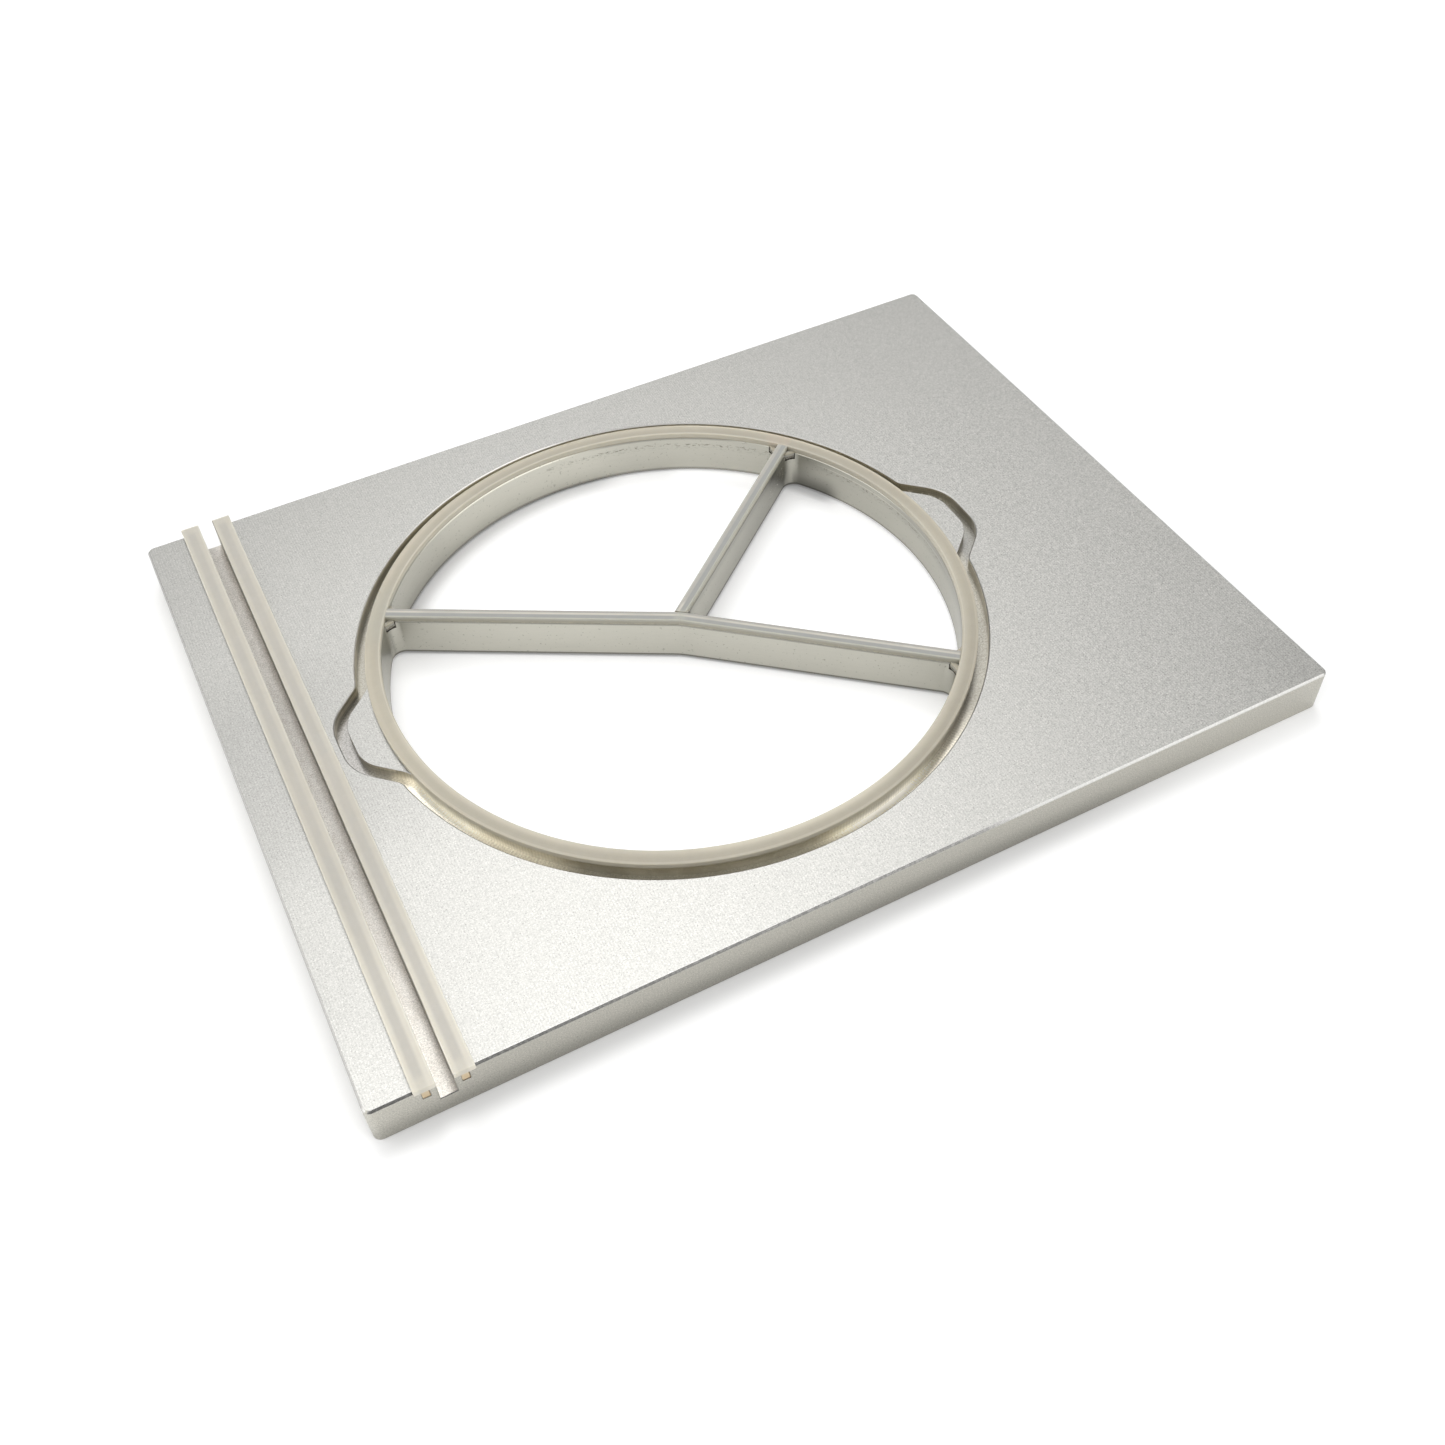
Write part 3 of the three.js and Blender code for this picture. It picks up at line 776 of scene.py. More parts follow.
def alu_wall():
    """Side-milled walls of the rooms: smooth, slightly greenish, scuffed below the seal."""
    mat = Material("alu_wall")
    x, y, z = mat.xyz()
    normal = mat.normal()
    fine = mat.noise(scale=0.9, detail=3, rough=0.6, stretch=(1, 1, 5))
    brushed = mat.noise(scale=1, detail=3, rough=0.7, stretch=(0.12, 0.12, 3))
    steps = mat.noise(scale=1.3, stretch=(0.05, 0.05, 1))
    cloud = mat.noise(scale=0.05, detail=3, rough=0.6)
    tone = 0.87 + fine * 0.09 + brushed * 0.08 + steps * 0.05 + cloud * 0.06
    _, _, radius, angle = polar(x, y)
    ring = radius.ramp(over=(OPENING_R - 1.2, OPENING_R - 0.5))

    def sector(at, half, soft):
        """A stretch of the round wall, in degrees."""
        return ring * angle.around(at, half, soft)

    # scuffs in two rows under the top, heavier along the back wall
    back = sector(at=66, half=22, soft=10)
    right = sector(at=8, half=17, soft=8)
    dash = mat.noise(scale=0.55, detail=4, rough=0.65, stretch=(1, 1, 2.4)).ramp(over=(0.50, 0.62))
    upper_row = z.band(at=THICK - 3.7, half=0.45, soft=0.55)
    lower_row = z.band(at=THICK - 4.9, half=0.6, soft=1.2) * 0.35
    scuff = (upper_row + lower_row) * dash * back.maximum(right * 0.8)
    bits = mat.noise(scale=0.9, detail=1).ramp(over=(0.68, 0.74)) * 0.40
    # painted light and shade: faces towards the front are painted lighter, a stretch of the back wall
    # lighter, and the round wall, a stretch at the right and the webs towards the right darker
    tone *= normal.y.ramp(over=(-0.9, -0.2), to=(1.04, 0.94))
    tone = tone.brighter(sector(at=100, half=14, soft=14), by=0.14)
    tone = tone.darker(ring, by=0.06)
    tone = tone.darker(sector(at=-24, half=10, soft=14), by=0.09)
    tone = tone.darker((1 - ring) * x.ramp(over=(RING_X - 45, RING_X + 20)), by=0.06)
    # painted shade: the rear web's front face darkens outward, towards the corner by the rim, and
    # upward, under its seal
    rear = normal.x.ramp(over=(0.2, 0.5)) * (normal.y.ramp(over=(-0.5, -0.7)) * (1 - ring))
    outward = radius.ramp(over=(10, 95))
    tone = tone.darker(rear, by=0.05 + outward * 0.19)
    tone = tone.darker(rear * z.ramp(over=(14, 18)), by=0.17)
    # shade in the corner beside the rear web and on the upper part of the right wall
    tone = tone.darker(sector(at=31, half=3, soft=5) * z.ramp(over=(13, 2)), by=0.55)
    tone = tone.darker(sector(at=-20, half=22, soft=12) * z.ramp(over=(11, 18)), by=0.20)
    # painted highlight along the land under the rim seal, a thin line below it painted lighter,
    # painted shade under the top of the far wall and under the web seals' heads, and painted shade
    # along the lower edge
    land_highlight = z.ramp(over=(THICK - 0.75, THICK - 0.55)) * sector(at=108, half=16, soft=8).maximum(
        sector(at=8, half=17, soft=8) * 0.15)
    shade = z.ramp(over=(THICK - 1.0, THICK - 0.5)) * sector(at=66, half=12, soft=6)
    line = z.band(at=THICK - 2.6, half=0.12, soft=0.15) * sector(at=8, half=17, soft=8)
    under_head = z.ramp(over=(THICK - 0.85, THICK - 0.45)) * (1 - ring)
    tone = tone.darker(under_head, by=0.32)
    foot = z.band(at=FLARE + 0.25, half=0.40, soft=0.50)
    tone = tone.brighter(land_highlight.maximum(line * 0.7), by=0.45)
    tone = tone.darker(shade, by=0.30)
    tone = tone.darker(foot, by=0.60 - ring * 0.25)
    tone *= z.ramp(over=(FLARE - 0.3, FLARE - 0.02), to=(0.45, 1))
    colour = mat.gain((0.460, 0.450, 0.397), tone)
    marks = (scuff * 0.60 + bits).op("MINIMUM", 0.7)
    colour = colour.toward((0.15, 0.145, 0.12), where=marks)
    # a few pale chips high on the rear web, beside the rim
    chips = rear * mat.noise(scale=0.75, rough=0.6).ramp(over=(0.60, 0.66))
    chips *= radius.ramp(over=(93, 98)) * z.band(at=11.5, half=2.5, soft=2)
    colour = colour.toward((0.80, 0.78, 0.72), where=chips, by=0.8)
    return mat.set(
        Base_Color=colour, Metallic=1.0, Roughness=0.33 + fine * 0.10,
        Normal=mat.bump(fine + steps * 2.0, depth=0.000012, strength=0.5))


def alu_groove():
    """Knife groove: a finely milled floor and slightly golden, brighter walls."""
    mat = Material("alu_groove")
    x, y, z = mat.xyz()
    _, _, radius, angle = polar(x, y)
    fine = mat.noise(scale=2, detail=3, rough=0.7)
    blotch = mat.noise(scale=0.16, detail=4, rough=0.6)
    mill = (radius + blotch * 1.0).wave(pitch=0.55)
    floor = mat.normal().z.ramp(over=(0.5, 0.9))
    grit = mat.noise(scale=1.35, rough=0.75)
    tone = 0.80 + fine * 0.36
    tone += (grit - 0.5) * floor * x.ramp(over=(RING_X + 60, RING_X + 105), to=(0.95, 1.35))
    tone += mill * 0.04
    ear = radius.ramp(over=(127, 131))
    wall_colour = mat.mix(
        blotch.ramp(over=(0.40, 0.68), to=(0, 0.45)), (0.52, 0.49, 0.41), (0.40, 0.365, 0.28))
    floor_colour = mat.mix(ear, (0.46, 0.44, 0.385), (0.355, 0.348, 0.325))
    colour = mat.mix(floor, wall_colour, floor_colour)
    wall = 1 - floor
    outside = wall * radius.ramp(over=(126.5, 127.2))
    inside = wall - outside
    sector = angle.around
    # painted light on the back left outer wall and along the top of every outer wall; painted shade
    # on the front inner wall and on the floor at the left
    colour = colour.toward(
        (0.72, 0.685, 0.585), where=outside * sector(at=128, half=22, soft=22), by=0.8)
    tone = tone.brighter(outside * z.ramp(over=(THICK - 1.8, THICK - 0.7)), by=0.45)
    tone = tone.darker(inside * sector(at=-106, half=20, soft=12), by=0.17)
    tone = tone.darker(floor * sector(at=160, half=8, soft=8), by=0.27)
    # cutter lines along the ear walls, and a paler band low on the left ear's back wall
    lines = mat.noise(scale=1, detail=3, rough=0.7, stretch=(0.03, 0.03, 1.5))
    ear_back = outside * sector(at=168, half=8, soft=5)
    pale_band = z.band(at=THICK - 2.9, half=0.5, soft=0.7)
    tone = tone.brighter(ear_back, by=0.18 + pale_band * 0.45)
    tone = tone.brighter(lines - 0.5, by=wall * radius.ramp(over=(127.5, 130), to=(0.25, 0.9)))
    # the left ear's own floor is plain and granular
    left_ear = floor * radius.ramp(over=(128.3, 129.5))
    left_ear *= x.ramp(over=(RING_X - 100, RING_X - 120))
    left_ear *= 1 - sector(at=-161, half=8, soft=6)
    # painted reflections of light: bright golden stretches, strongest at the bottom of the inner
    # wall, with painted shade under its top
    lit_stretch_left = sector(at=-158, half=9, soft=13)
    lit_stretch_front = sector(at=-76, half=6, soft=9)
    down = inside * z.ramp(over=(THICK - 1.5, THICK - 4.6)) + outside * 0.5
    colour = colour.toward(
        (0.86, 0.81, 0.69), where=lit_stretch_left.maximum(lit_stretch_front) * down, by=0.85)
    lit_floor_stretch = sector(at=-152, half=11, soft=13).maximum(sector(at=-70, half=14, soft=12))
    lit_floor_stretch *= 1 - left_ear
    colour = colour.toward((0.90, 0.85, 0.73), where=lit_floor_stretch * floor, by=0.85 - ear * 0.6)
    colour = colour.toward((0.300, 0.291, 0.277), where=left_ear)
    tone += (grit - 0.5) * left_ear * 0.7
    # patches of light and shade; radius ramps pick the inner or outer part of the floor
    inner_half = radius.ramp(over=(126.2, 124.8))
    tone = tone.brighter(floor * sector(at=-160, half=6, soft=8) * inner_half, by=0.34)
    tone = tone.brighter(floor * sector(at=-80, half=6, soft=7), by=0.30)
    tone = tone.brighter(floor * sector(at=-140, half=5, soft=6), by=0.12)
    outer_half = radius.ramp(over=(125.2, 126.2))
    tone = tone.darker(floor * sector(at=-156, half=8, soft=6) * outer_half, by=0.22)
    below_top = z.ramp(over=(THICK - 1.8, THICK - 2.6))
    tone = tone.darker(outside * sector(at=105, half=45, soft=12) * below_top, by=0.28)
    tone = tone.darker(inside * sector(at=-55, half=8, soft=9), by=0.26)
    tone = tone.darker(inside * sector(at=-137, half=9, soft=8), by=0.20)
    upper = z.ramp(over=(THICK - 4.0, THICK - 2.5))
    tone = tone.darker(inside * sector(at=-82, half=6, soft=8) * upper, by=0.14)
    tone = tone.darker(floor * sector(at=-52, half=2, soft=7), by=0.30)
    tone = tone.darker(floor * sector(at=-37, half=9, soft=6), by=0.15)
    inner_edge = radius.ramp(over=(125.4, 124.2))
    tone = tone.brighter(floor * sector(at=-73, half=7, soft=6) * inner_edge, by=0.34)
    # glints low on the right ear's wall
    glint = mat.noise(scale=0.75, rough=0.6).ramp(over=(0.55, 0.63)) * (
        outside * sector(at=9, half=3, soft=4) * z.ramp(over=(THICK - 3.0, THICK - 4.2)))
    colour = colour.toward((0.95, 0.92, 0.82), where=glint, by=0.8)
    # fine chatter marks, about 0.42 per radian of pitch, across the stretches painted with light
    chatter = (angle * (2 * GROOVE_R / 0.42) + blotch * 9.0).op("SINE")
    lit_stretches = lit_stretch_left.maximum(lit_stretch_front).maximum(lit_floor_stretch)
    tone = tone.brighter(chatter * lit_stretches, by=0.07)
    return mat.set(
        Base_Color=mat.gain(colour, tone), Metallic=1.0, Roughness=0.26 + fine * 0.12,
        Normal=mat.bump(fine + mill * 0.2, depth=0.00002, strength=0.5))


def alu_channel():
    """Cross-cut channel: granular pale floor with painted shade browning it towards the right wall,
    and faint cutter arcs.
    """
    mat = Material("alu_channel")
    x, y, _ = mat.xyz()
    fine = mat.noise(scale=1.9, rough=0.75)
    grit = mat.noise(scale=2.9, detail=1, rough=0.6)
    off = x - CHANNEL_X
    bow = y + (9.6 - off * off).maximum(0.0).op("SQRT") * 1.0
    wobble = mat.noise(scale=0.25) * 2.2
    arcs = (bow + wobble).wave(pitch=1.3) * y.ramp(over=(-130, -20), to=(0.012, 0.034))
    blot = mat.noise(scale=0.42, detail=4, rough=0.65, stretch=(1, 0.55, 1))
    blot = blot.ramp(over=(0.42, 0.64))
    tone = 0.36 + fine * 1.24 + arcs
    tone += (grit - 0.5) * 0.75
    tone -= blot * 0.06
    # painted light and shade along and across the channel: lighter at both ends and by the left wall,
    # painted shade towards the right wall at the front and along the front lip
    tone *= y.ramp(over=(-50, -145), to=(0.91, 1.23)) + y.ramp(over=(20, 110), to=(0, 0.22))
    tone = tone.brighter(off, by=y.ramp(over=(-60, 80), to=(0.012, 0.055)))
    tone = tone.brighter(off.ramp(over=(-2, -2.9)), by=0.18)
    tone = tone.brighter(off.ramp(over=(0.8, 2)) * y.band(at=-35, half=45, soft=30), by=0.08)
    tone = tone.darker(off.ramp(over=(0.2, 2.9)), by=y.ramp(over=(-80, -135), to=(0, 0.22)))
    front_lip = y.band(at=-WIDTH / 2 + 0.25, half=0.12, soft=0.12)
    tone = tone.darker(front_lip, by=off.ramp(over=(-2, 1)) * 0.5)
    floor = mat.normal().z.ramp(over=(0.5, 0.9))
    # blotches, and painted shade browning the floor towards the right wall
    pale = mat.mix(
        blot * 0.25 + off.ramp(over=(0, 2.8)) * 0.5, (0.50, 0.480, 0.447), (0.455, 0.415, 0.365))
    colour = mat.mix(floor, (0.45, 0.425, 0.375), pale)
    return mat.set(
        Base_Color=mat.gain(colour, tone), Metallic=1.0, Roughness=0.36 + fine * 0.14,
        Normal=mat.bump(fine + arcs * 6.0, depth=0.00004, strength=0.7))


def alu_edge():
    """The broken edges, cut after blasting, with small nicks."""
    mat = Material("alu_edge")
    normal = mat.normal()
    nick = mat.noise(scale=1.2, rough=0.6)
    x, y, _ = mat.xyz()
    # squared distance from the centre parts the plate's edges from the groove's
    squared = (x - RING_X) * (x - RING_X) + (y - RING_Y) * (y - RING_Y)
    outer = squared.ramp(over=(143.0 ** 2, 144.0 ** 2))
    tone = 0.80 + nick * 0.4
    angle = bearing(x, y)
    # painted highlights on the groove's edges at the back left and at the front, and painted shade on
    # two stretches
    tone = tone.brighter((1 - outer) * angle.band(at=128, half=34, soft=12), by=0.70)
    inner = 1 - outer
    tone = tone.brighter(inner * angle.band(at=-100, half=24, soft=8), by=0.40)
    shaded_stretches = angle.band(at=-157, half=10, soft=6).maximum(angle.band(at=-57, half=7, soft=6))
    tone = tone.darker(inner * shaded_stretches, by=0.28)
    # painted shade on the right, left, back and front edges of the plate; along the front it is
    # ragged with the blasted edge's serration
    tone = tone.darker(outer * normal.x.ramp(over=(0.4, 0.6)), by=0.42)
    tone = tone.darker(outer * normal.x.ramp(over=(-0.4, -0.6)), by=0.15)
    tone = tone.darker(outer * normal.y.ramp(over=(0.4, 0.6)), by=0.12)
    ragged = mat.noise(scale=0.8, detail=3, rough=0.7).ramp(over=(0.35, 0.6), to=(0.75, 1.15))
    front = outer * normal.y.ramp(over=(-0.4, -0.6)) * x.ramp(over=(58, 30))
    tone = tone.darker(front, by=ragged * 0.50)
    return mat.set(
        Base_Color=mat.gain((0.50, 0.495, 0.475), tone), Metallic=1.0,
        Roughness=(0.42 - outer * 0.22) + nick * 0.10,
        Normal=mat.bump(nick, depth=0.00002, strength=0.6))


def alu_slot():
    """Inside of the seal slots and their little windows: painted dark for the shade in them, with
    pale bits of old adhesive.
    """
    mat = Material("alu_slot")
    bits = mat.noise(scale=1.4, detail=3, rough=0.7)
    colour = mat.mix(bits.ramp(over=(0.56, 0.66)), (0.085, 0.080, 0.066), (0.42, 0.39, 0.31))
    return mat.set(
        Base_Color=colour, Metallic=0.35, Roughness=0.55,
        Normal=mat.bump(bits, depth=0.0001, strength=0.6))


# ------------------------------------------------------------------ silicone
def silicone(name):
    """A material with the two noises that all the silicones share."""
    mat = Material(name)
    soft = mat.noise(scale=0.35, detail=3, rough=0.55)
    fine = mat.noise(scale=2.6, rough=0.6)
    return mat, soft, fine


def finish_silicone(mat, colour, soft, fine):
    dust = mat.noise(scale=1.3, detail=1).ramp(over=(0.72, 0.80))
    colour = mat.gain(colour, 0.925 + soft * 0.10 + fine * 0.05)
    colour = colour.toward((0.26, 0.24, 0.20), where=dust, by=0.16)
    return mat.set(
        Base_Color=colour, Metallic=0.0, Roughness=0.36 + soft * 0.12, IOR=1.41,
        Subsurface_Weight=0.75, Subsurface_Scale=0.0012, Subsurface_Radius=(1.0, 0.92, 0.78),
        Normal=mat.bump(soft + fine * 0.3, depth=0.00006, strength=0.5))


def rim_silicone():
    """Milky, slightly yellow; a little lighter near both edges of the head."""
    mat, soft, fine = silicone("silicone_rim")
    across, rise = mat.attr("across"), mat.attr("rise")
    x, y, _ = mat.xyz()
    angle = bearing(x, y)
    # painted light on the half of the head that faces the back
    back_facing_light = angle.op("RADIANS").op("SINE") * across.ramp(over=(-2.2, 2.2), to=(-1, 1))
    colour = mat.mix(
        across.ramp(over=(0.6, 1.9)), (0.405, 0.373, 0.302), (0.428, 0.396, 0.322))
    colour = colour.toward((0.420, 0.392, 0.322), where=across.ramp(over=(-0.4, -1.9)))
    colour = mat.gain(colour, 1 + back_facing_light * y.ramp(over=(40, -40), to=(0.13, 0.17)))
    colour = colour.toward(
        (0.53, 0.505, 0.43), where=across.band(at=-2.2, half=0.12, soft=0.2), by=0.5)
    # painted light and shade round the ring: lighter towards the left, and lighter or darker in the
    # stretches listed below
    tone = angle.ramp(over=(150, 176)).maximum(angle.ramp(over=(-150, -176))) * 0.08
    stretches = (       # at, half, soft in degrees; change of tone
        (-92, 12, 12, 0.06), (30, 18, 16, -0.06), (-40, 10, 14, -0.05), (130, 12, 14, 0.04))
    for at, half, blur, change in stretches:
        tone += angle.band(at, half, blur) * change
    # painted highlights along the head's edges, and a painted shade line along its inner edge at the
    # front
    lines = (           # at, half, soft round the ring; at, half, soft across it; change of tone
        (102, 46, 26, -2.95, 0.40, 0.4, 0.27),
        (-82, 78, 20, 2.95, 0.4, 0.4, 0.13),
        (34, 22, 14, 2.65, 0.40, 0.35, 0.20))
    for *stretch, at, half, blur, change in lines:
        tone += angle.band(*stretch) * across.band(at, half, blur) * change
    dark_line = across.ramp(over=(-2.8, -3.05))
    tone -= angle.band(at=-98, half=40, soft=15) * dark_line * 0.22
    # painted light on the inner half of the head at the left and at the front
    lit = angle.band(at=-155, half=18, soft=12).maximum(
        angle.band(at=-92, half=14, soft=10) * 0.6)
    tone += lit * across.ramp(over=(-0.0, -1.4)) * 0.11
    colour = mat.gain(colour, 1 + tone)
    # pinkish where the rear divider runs in, greener at the left one
    colour = colour.toward(
        (0.50, 0.41, 0.33), where=angle.band(at=40, half=1.5, soft=2), by=0.30)
    colour = colour.toward(
        (0.39, 0.385, 0.33), where=angle.band(at=150, half=5, soft=6), by=0.35)
    colour = colour.toward((0.36, 0.335, 0.262), where=rise.ramp(over=(0.9, 0.3)))
    colour = colour.toward((0.34, 0.33, 0.285), where=rise.ramp(over=(-0.05, -0.4)))
    # what shows in the little windows: painted shade, with pale bits of adhesive
    bits = mat.noise(scale=1.7, rough=0.6).ramp(over=(0.56, 0.62))
    adhesive = mat.mix(bits, (0.14, 0.13, 0.105), (0.50, 0.47, 0.38))
    colour = colour.toward(adhesive, where=rise.ramp(over=(-0.7, -1.5)))
    return finish_silicone(mat, colour, soft, fine)


def web_silicone():
    """Cool over the slot, with a painted light line towards the back and olive low on the sides."""
    mat, soft, fine = silicone("silicone_web")
    across, rise, hub = mat.attr("across"), mat.attr("rise"), mat.attr("hub")
    normal = mat.normal()
    patchy = mat.noise(scale=0.05, detail=1).ramp(over=(0.3, 0.6), to=(0.6, 1))
    x, y, _ = mat.xyz()
    rear = (x - RING_X).ramp(over=(3, 6)) * (y - RING_Y).ramp(over=(2.5, 5.5))
    colour = mat.mix(across.ramp(over=(0.3, -0.5)), (0.312, 0.316, 0.300), (0.358, 0.348, 0.318))
    # the painted light line is faint on the rear web, which has a pale painted light line further
    # back instead
    back_light_line = across.band(at=-0.62, half=0.22, soft=0.55) * patchy
    colour = colour.toward((0.535, 0.508, 0.448), where=back_light_line, by=1 - rear * 0.72)
    pale = across.band(at=-1.7, half=0.35, soft=0.35) * rear
    colour = colour.toward((0.47, 0.455, 0.41), where=pale, by=0.6)
    # painted shade along the back edge, except on the rear web, and a painted highlight along the
    # front edge
    colour = mat.gain(colour, 1 - across.ramp(over=(-2, -2.35)) * (1 - rear) * 0.20)
    colour = colour.toward(
        (0.43, 0.42, 0.355), where=across.band(at=2.1, half=0.15, soft=0.30), by=0.8)
    colour = colour.toward((0.44, 0.435, 0.375), where=hub.ramp(over=(6, 2.5)), by=0.45)
    # the upright sides, olive lower down, with a pale crust and dark spots low down; painted light on
    # the sides facing right and painted shade at their foot
    side = abs(normal.z).ramp(over=(0.6, 0.3))
    flank = mat.mix(rise.ramp(over=(2.3, 1.2)), (0.365, 0.355, 0.308), (0.312, 0.298, 0.240))
    crust = rise.band(at=0.35, half=0.18, soft=0.2)
    crust *= mat.noise(scale=0.35, detail=3, rough=0.65, stretch=(1, 1, 0.3)).ramp(over=(0.46, 0.60))
    flank = flank.toward((0.43, 0.40, 0.30), where=crust, by=0.5)
    flank = mat.gain(
        flank, 1 + normal.x.ramp(over=(0.2, 0.5)) * rise.ramp(over=(0.3, 1.6), to=(0, 0.26)))
    flank = mat.gain(flank, rise.ramp(over=(0, 0.7), to=(0.80, 1)))
    spots = rise.ramp(over=(0.9, 0.1)) * mat.noise(scale=1.1, rough=0.6).ramp(over=(0.60, 0.68))
    flank = flank.toward((0.13, 0.11, 0.07), where=spots, by=0.65)
    colour = colour.toward(flank, where=side)
    colour = colour.toward((0.33, 0.325, 0.285), where=rise.ramp(over=(-0.05, -0.4)))
    return finish_silicone(mat, colour, soft, fine)


def strip_silicone():
    """Cream, a shade greyer over the slot; ends tan where the old adhesive shows."""
    mat, soft, fine = silicone("silicone_strip")
    across, along, rise = mat.attr("across"), mat.attr("along"), mat.attr("rise")
    normal = mat.normal()
    end = WIDTH / 2
    wander = mat.noise(scale=1, stretch=(0.2, 0.03, 0.2)) * 0.5
    beside = abs(across + wander).ramp(over=(0.9, 2.4))
    colour = mat.mix(beside, (0.447, 0.427, 0.383), (0.512, 0.487, 0.425))
    colour = colour.toward((0.565, 0.540, 0.472), where=abs(across).ramp(over=(2.7, 3.5)), by=0.8)
    # painted highlight along the right edge
    colour = colour.toward((0.66, 0.64, 0.575), where=across.ramp(over=(3.25, 3.6)), by=0.6)
    front = along.ramp(over=(-55, -125))
    ends = along.ramp(over=(-end + 5, -end + 1)).maximum(along.ramp(over=(end - 5, end - 1)))
    colour = colour.toward((0.52, 0.495, 0.43), where=ends, by=0.7)
    # painted light towards the front
    colour = mat.gain(colour, 1 + front * (0.11 + beside * 0.10))
    past_back = along.ramp(over=(end + 0.4, end + 1.3))
    colour = colour.toward((0.70, 0.68, 0.62), where=past_back, by=0.7)
    tint = mat.noise(scale=0.02, stretch=(0, 1, 0)).ramp(over=(0.45, 0.65))
    tan = mat.gain((0.50, 0.465, 0.40), 1 + front * 0.1)
    colour = colour.toward(tan, where=tint, by=0.25)
    # painted shade: a dark line down the left edge of the inner strip
    left_edge = across.ramp(over=(-3.40, -3.58)) * x_of(mat).ramp(over=(-168, -165.5))
    colour = colour.toward(
        (0.15, 0.14, 0.11), where=left_edge, by=along.ramp(over=(-142, -118), to=(0, 0.8)))
    # the left flanks lie in the strips' own shade
    colour = mat.gain(colour, 1 - normal.x.ramp(over=(-0.6, -0.9)) * rise.ramp(
        over=(2.3, 1.5), to=(0.10, 0.50)))
    # foot: adhesive-stained end, darker along its right side and bottom
    stain = mat.mix(rise.ramp(over=(-1, -4.5)), (0.60, 0.52, 0.38), (0.58, 0.46, 0.29))
    border = (across + fine * 0.3).ramp(over=(1.12, 1.36)).maximum(
        (rise - fine * 0.4).ramp(over=(-5.55, -5.95)))
    stain = stain.toward((0.20, 0.13, 0.06), where=border, by=0.75)
    colour = colour.toward(stain, where=rise.ramp(over=(-0.05, -0.8)))
    return finish_silicone(mat, colour, soft, fine)


def x_of(mat):
    return mat.xyz().x


def dress(ob, materials):
    ob.data.materials.clear()
    for material in materials:
        ob.data.materials.append(material)


# ------------------------------------------------------------------ materials on the pieces
TOP_M, SIDE_M, WALL_M, GROOVE_M, CHANNEL_M, EDGE_M, SLOT_M = range(7)
CHANNEL_ZONE_X = -158               # everything left of this belongs to the channel


def in_window(centre):
    for window in WINDOWS:
        off = np.array([centre.x, centre.y]) - window.fillet
        if (abs(off @ window.across) < WINDOW_W / 2 + 0.02
                and WEB_CORNER_R - 0.2 < off @ window.along < 12
                and THICK - WINDOW_H - 0.01 < centre.z < THICK - 0.3):
            return True
    return False


def plate_material(centre, normal):
    """The material slot for a face of the plate, from its centre in mm and its normal."""
    radius = math.hypot(centre.x - RING_X, centre.y - RING_Y)
    if centre.z > THICK - 0.005 and normal.z > 0.99:
        return TOP_M
    lower_edge = centre.z < 0.31 and normal.z < -0.3 and radius > OPENING_R + 1.1
    if abs(centre.x) > LENGTH / 2 - 0.95 or abs(centre.y) > WIDTH / 2 - 0.95 or lower_edge:
        return EDGE_M if 0.2 < abs(normal.z) < 0.99 and centre.z > 1 else SIDE_M
    if centre.x < CHANNEL_ZONE_X:
        return CHANNEL_M if abs(centre.x - CHANNEL_X) < CHANNEL_W / 2 + 0.9 else WALL_M
    if radius > GROOVE_R - GROOVE_W - 0.2 and centre.z > THICK - GROOVE_D - 0.1:
        return EDGE_M if 0.2 < normal.z < 0.99 else GROOVE_M
    if centre.z < 0.01 and normal.z < -0.99:
        return SIDE_M
    in_slot = radius > OPENING_R + 1.3 and THICK - SLOT_D - 0.05 < centre.z < THICK
    return SLOT_M if in_slot or in_window(centre) else WALL_M


dress(plate, [alu_top(), alu_side(), alu_wall(), alu_groove(), alu_channel(), alu_edge(), alu_slot()])
for face in plate.data.polygons:
    face.material_index = plate_material(face.center * 1000, face.normal)
dress(rim_seal, [rim_silicone()])
for seals, material in ((web_seals, web_silicone()), (strip_seals, strip_silicone())):
    for seal in seals:
        dress(seal, [material])


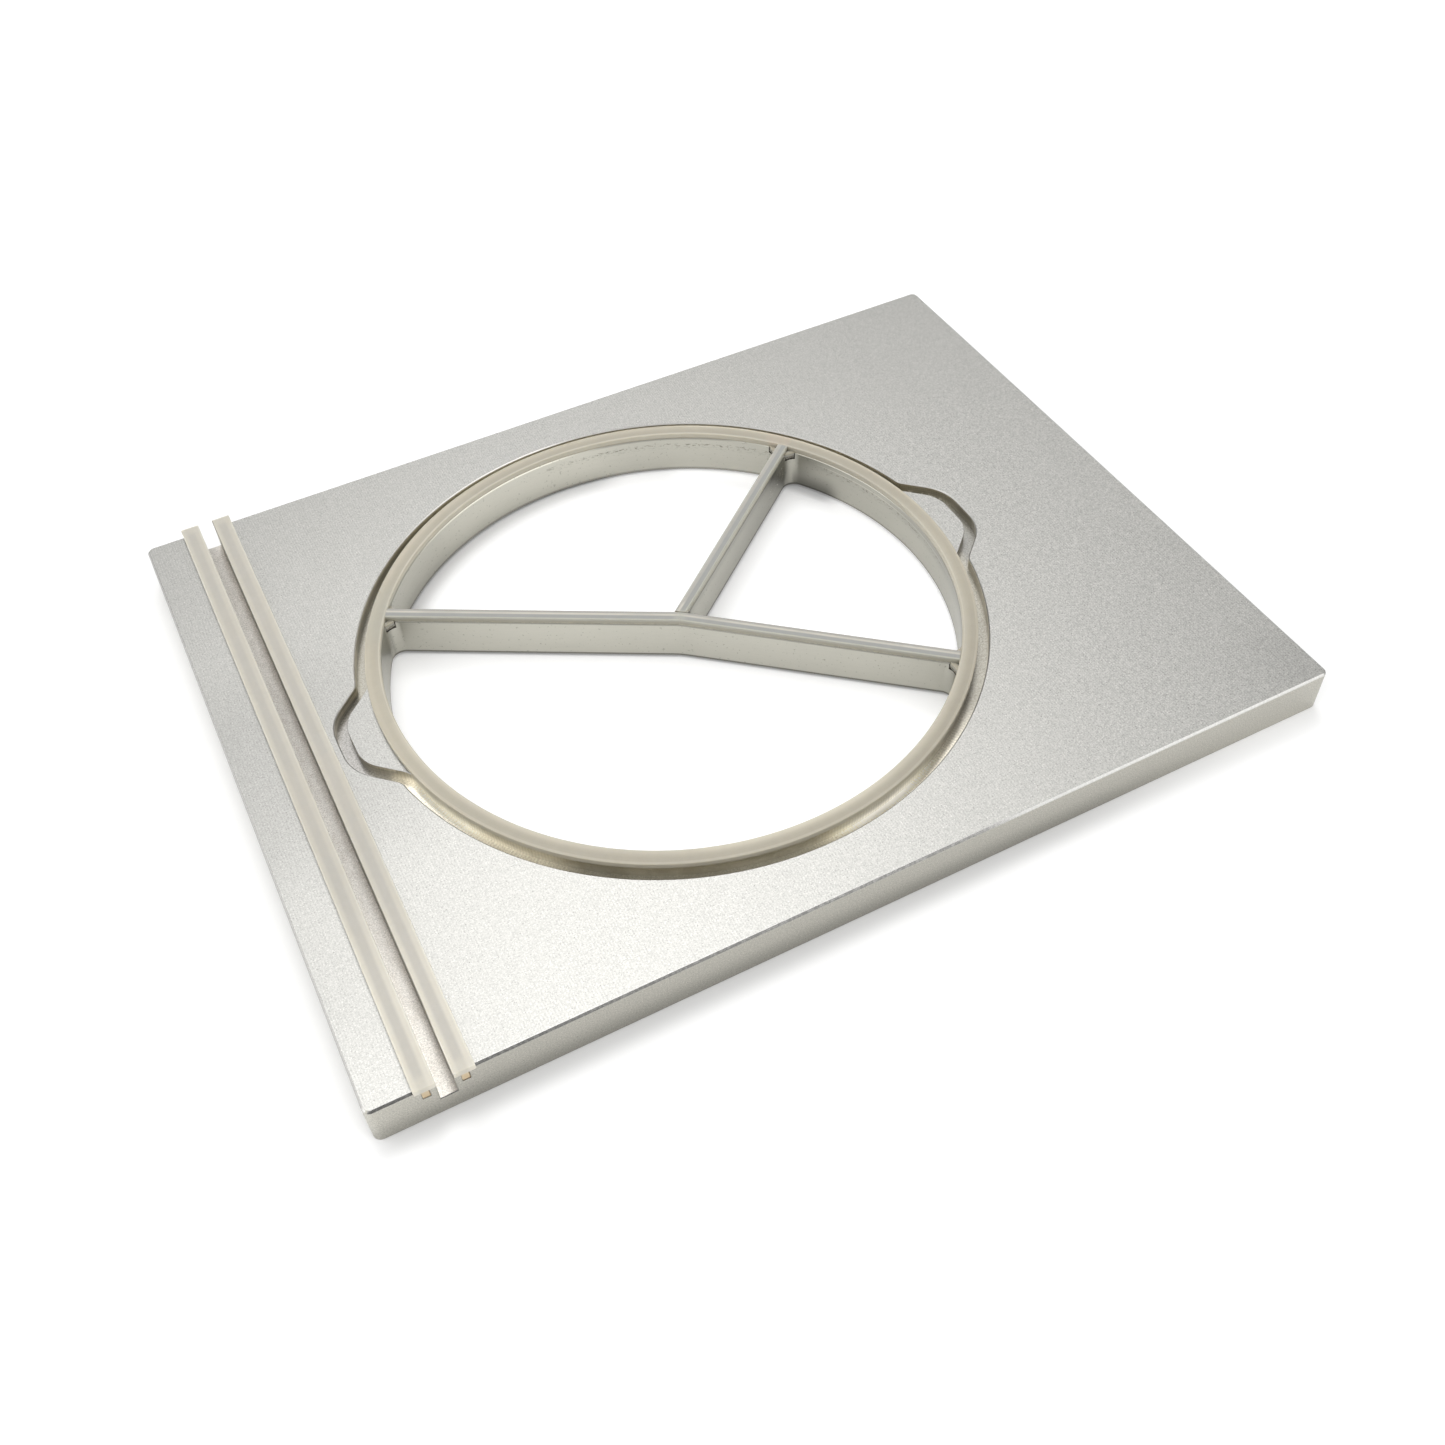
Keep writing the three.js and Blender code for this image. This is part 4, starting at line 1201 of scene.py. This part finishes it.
# ------------------------------------------------------------------ stage, light and camera
def floor_paper():
    """White paper with painted light glowing faintly within the opening, and painted soft contact
    shades.
    """
    mat = Material("floor_paper")
    x, y, _ = mat.xyz()
    off_x, off_y, radius, angle = polar(x, y)
    under = radius.ramp(over=(121, 118.5))
    angle = angle.op("DEGREES")
    near_wall = radius.ramp(over=(108, 116)) * under
    back = angle.band(at=112, half=28, soft=10) * near_wall
    right = angle.band(at=-5, half=26, soft=9).maximum(angle.band(at=53, half=8, soft=6))
    right *= near_wall
    corner = angle.band(at=33, half=4, soft=6) * (radius.ramp(over=(111, 116.5)) * under)
    # painted shade near the back wall and in the corner beside the rear web
    tone = (1 - back * 0.10) * (1 - corner * 0.45)
    # narrow contact shade under the front edge of each web
    for name, web in WEBS.items():
        from_x, from_y = off_x - web.point[0], off_y - web.point[1]
        across = from_x * web.to_front[0] + from_y * web.to_front[1]
        along = from_x * web.along[0] + from_y * web.along[1]
        reach = 3.6 if name == "rear" else 2.8
        shade = across.ramp(over=(reach, 1.3)) * across.ramp(over=(-3, -1))
        shade *= along.ramp(over=(-1, 2)) * under
        tone = tone.darker(shade, by=0.38)
    # the shade in front of the plate
    front = y.band(at=-WIDTH / 2 - 1, half=1, soft=8) * x.ramp(over=(175, 60), to=(0, 0.21))
    front *= x.ramp(over=(-LENGTH / 2 - 4, -LENGTH / 2 + 8))
    tone = (tone - front) * (0.99 + mat.noise(scale=0.02) * 0.02)
    # painted light: the paper glows under the opening, more near the right wall
    glow = under * ((1 - back) * 0.16 + right * 0.16)
    return mat.set(
        Base_Color=mat.gain((0.93, 0.93, 0.93), tone), Roughness=0.9,
        Emission_Color=(1.0, 1.0, 1.0), Emission_Strength=glow)


def build_floor():
    half, z = 4.0, -0.0001          # metres
    data = bpy.data.meshes.new("floor")
    data.from_pydata(lift(rectangle(-half, half, -half, half), z).tolist(), [], [(0, 1, 2, 3)])
    ob = bpy.data.objects.new("floor", data)
    scene.collection.objects.link(ob)
    data.materials.append(floor_paper())


# soft studio lights: bearing from +Y towards +X, elevation, tightness, strength
LIGHTS = [
    (120, 12, 6, 0.55), (180, 12, 6, 1.07), (240, 12, 6, 0.64), (300, 12, 6, 1.57),
    (45, 38, 9, 0.65), (135, 38, 9, 1.54), (270, 38, 9, 1.74), (180, 62, 14, 1.02),
    (0, 90, 18, 1.36), (15, 60, 40, 6.14),
    (188, 30, 18, -0.85)]           # the camera and its stand, which keep some light off


def build_studio():
    world = bpy.data.worlds.new("studio")
    scene.world = world
    world.use_nodes = True
    graph = Graph(world.node_tree)
    out = graph.new("ShaderNodeOutputWorld")
    background = graph.new("ShaderNodeBackground")
    graph.tree.links.new(background.outputs[0], out.inputs[0])
    view = graph.vector("NORMALIZE", graph.coordinates("Generated"))
    total = None
    for azimuth, elevation, tightness, strength in LIGHTS:
        turn, tilt = math.radians(azimuth), math.radians(elevation)
        toward = (math.sin(turn) * math.cos(tilt), math.cos(turn) * math.cos(tilt), math.sin(tilt))
        facing = graph.vector("DOT_PRODUCT", view, toward, output="Value")
        lobe = ((facing - 1) * tightness).op("EXPONENT") * strength
        total = lobe if total is None else total + lobe
    graph.put(background.inputs["Strength"], total.maximum(0.0))
    graph.put(background.inputs["Color"], (1, 1, 1, 1))


CAMERA_PLACE = (-0.1787186, -0.3973518, 0.4474411)
CAMERA_RIGHT = (0.88869454, -0.45714682, -0.03519657)
CAMERA_DOWN = (-0.36586288, -0.66077995, -0.65537333)
CAMERA_FORWARD = (0.27634464, 0.59530382, -0.75448459)


def build_camera():
    data = bpy.data.cameras.new("photo_view")
    data.sensor_width, data.lens = 36.0, 37.078
    data.clip_start, data.clip_end = 0.01, 50
    camera = bpy.data.objects.new("photo_view", data)
    scene.collection.objects.link(camera)
    axes = zip(CAMERA_RIGHT, CAMERA_DOWN, CAMERA_FORWARD, CAMERA_PLACE)
    rows = [(right, -down, -forward, place_) for right, down, forward, place_ in axes]
    camera.matrix_world = Matrix(rows + [(0, 0, 0, 1)])
    scene.camera = camera


build_floor()
build_studio()
build_camera()
scene.view_settings.view_transform = "Standard"
scene.view_settings.look = "None"
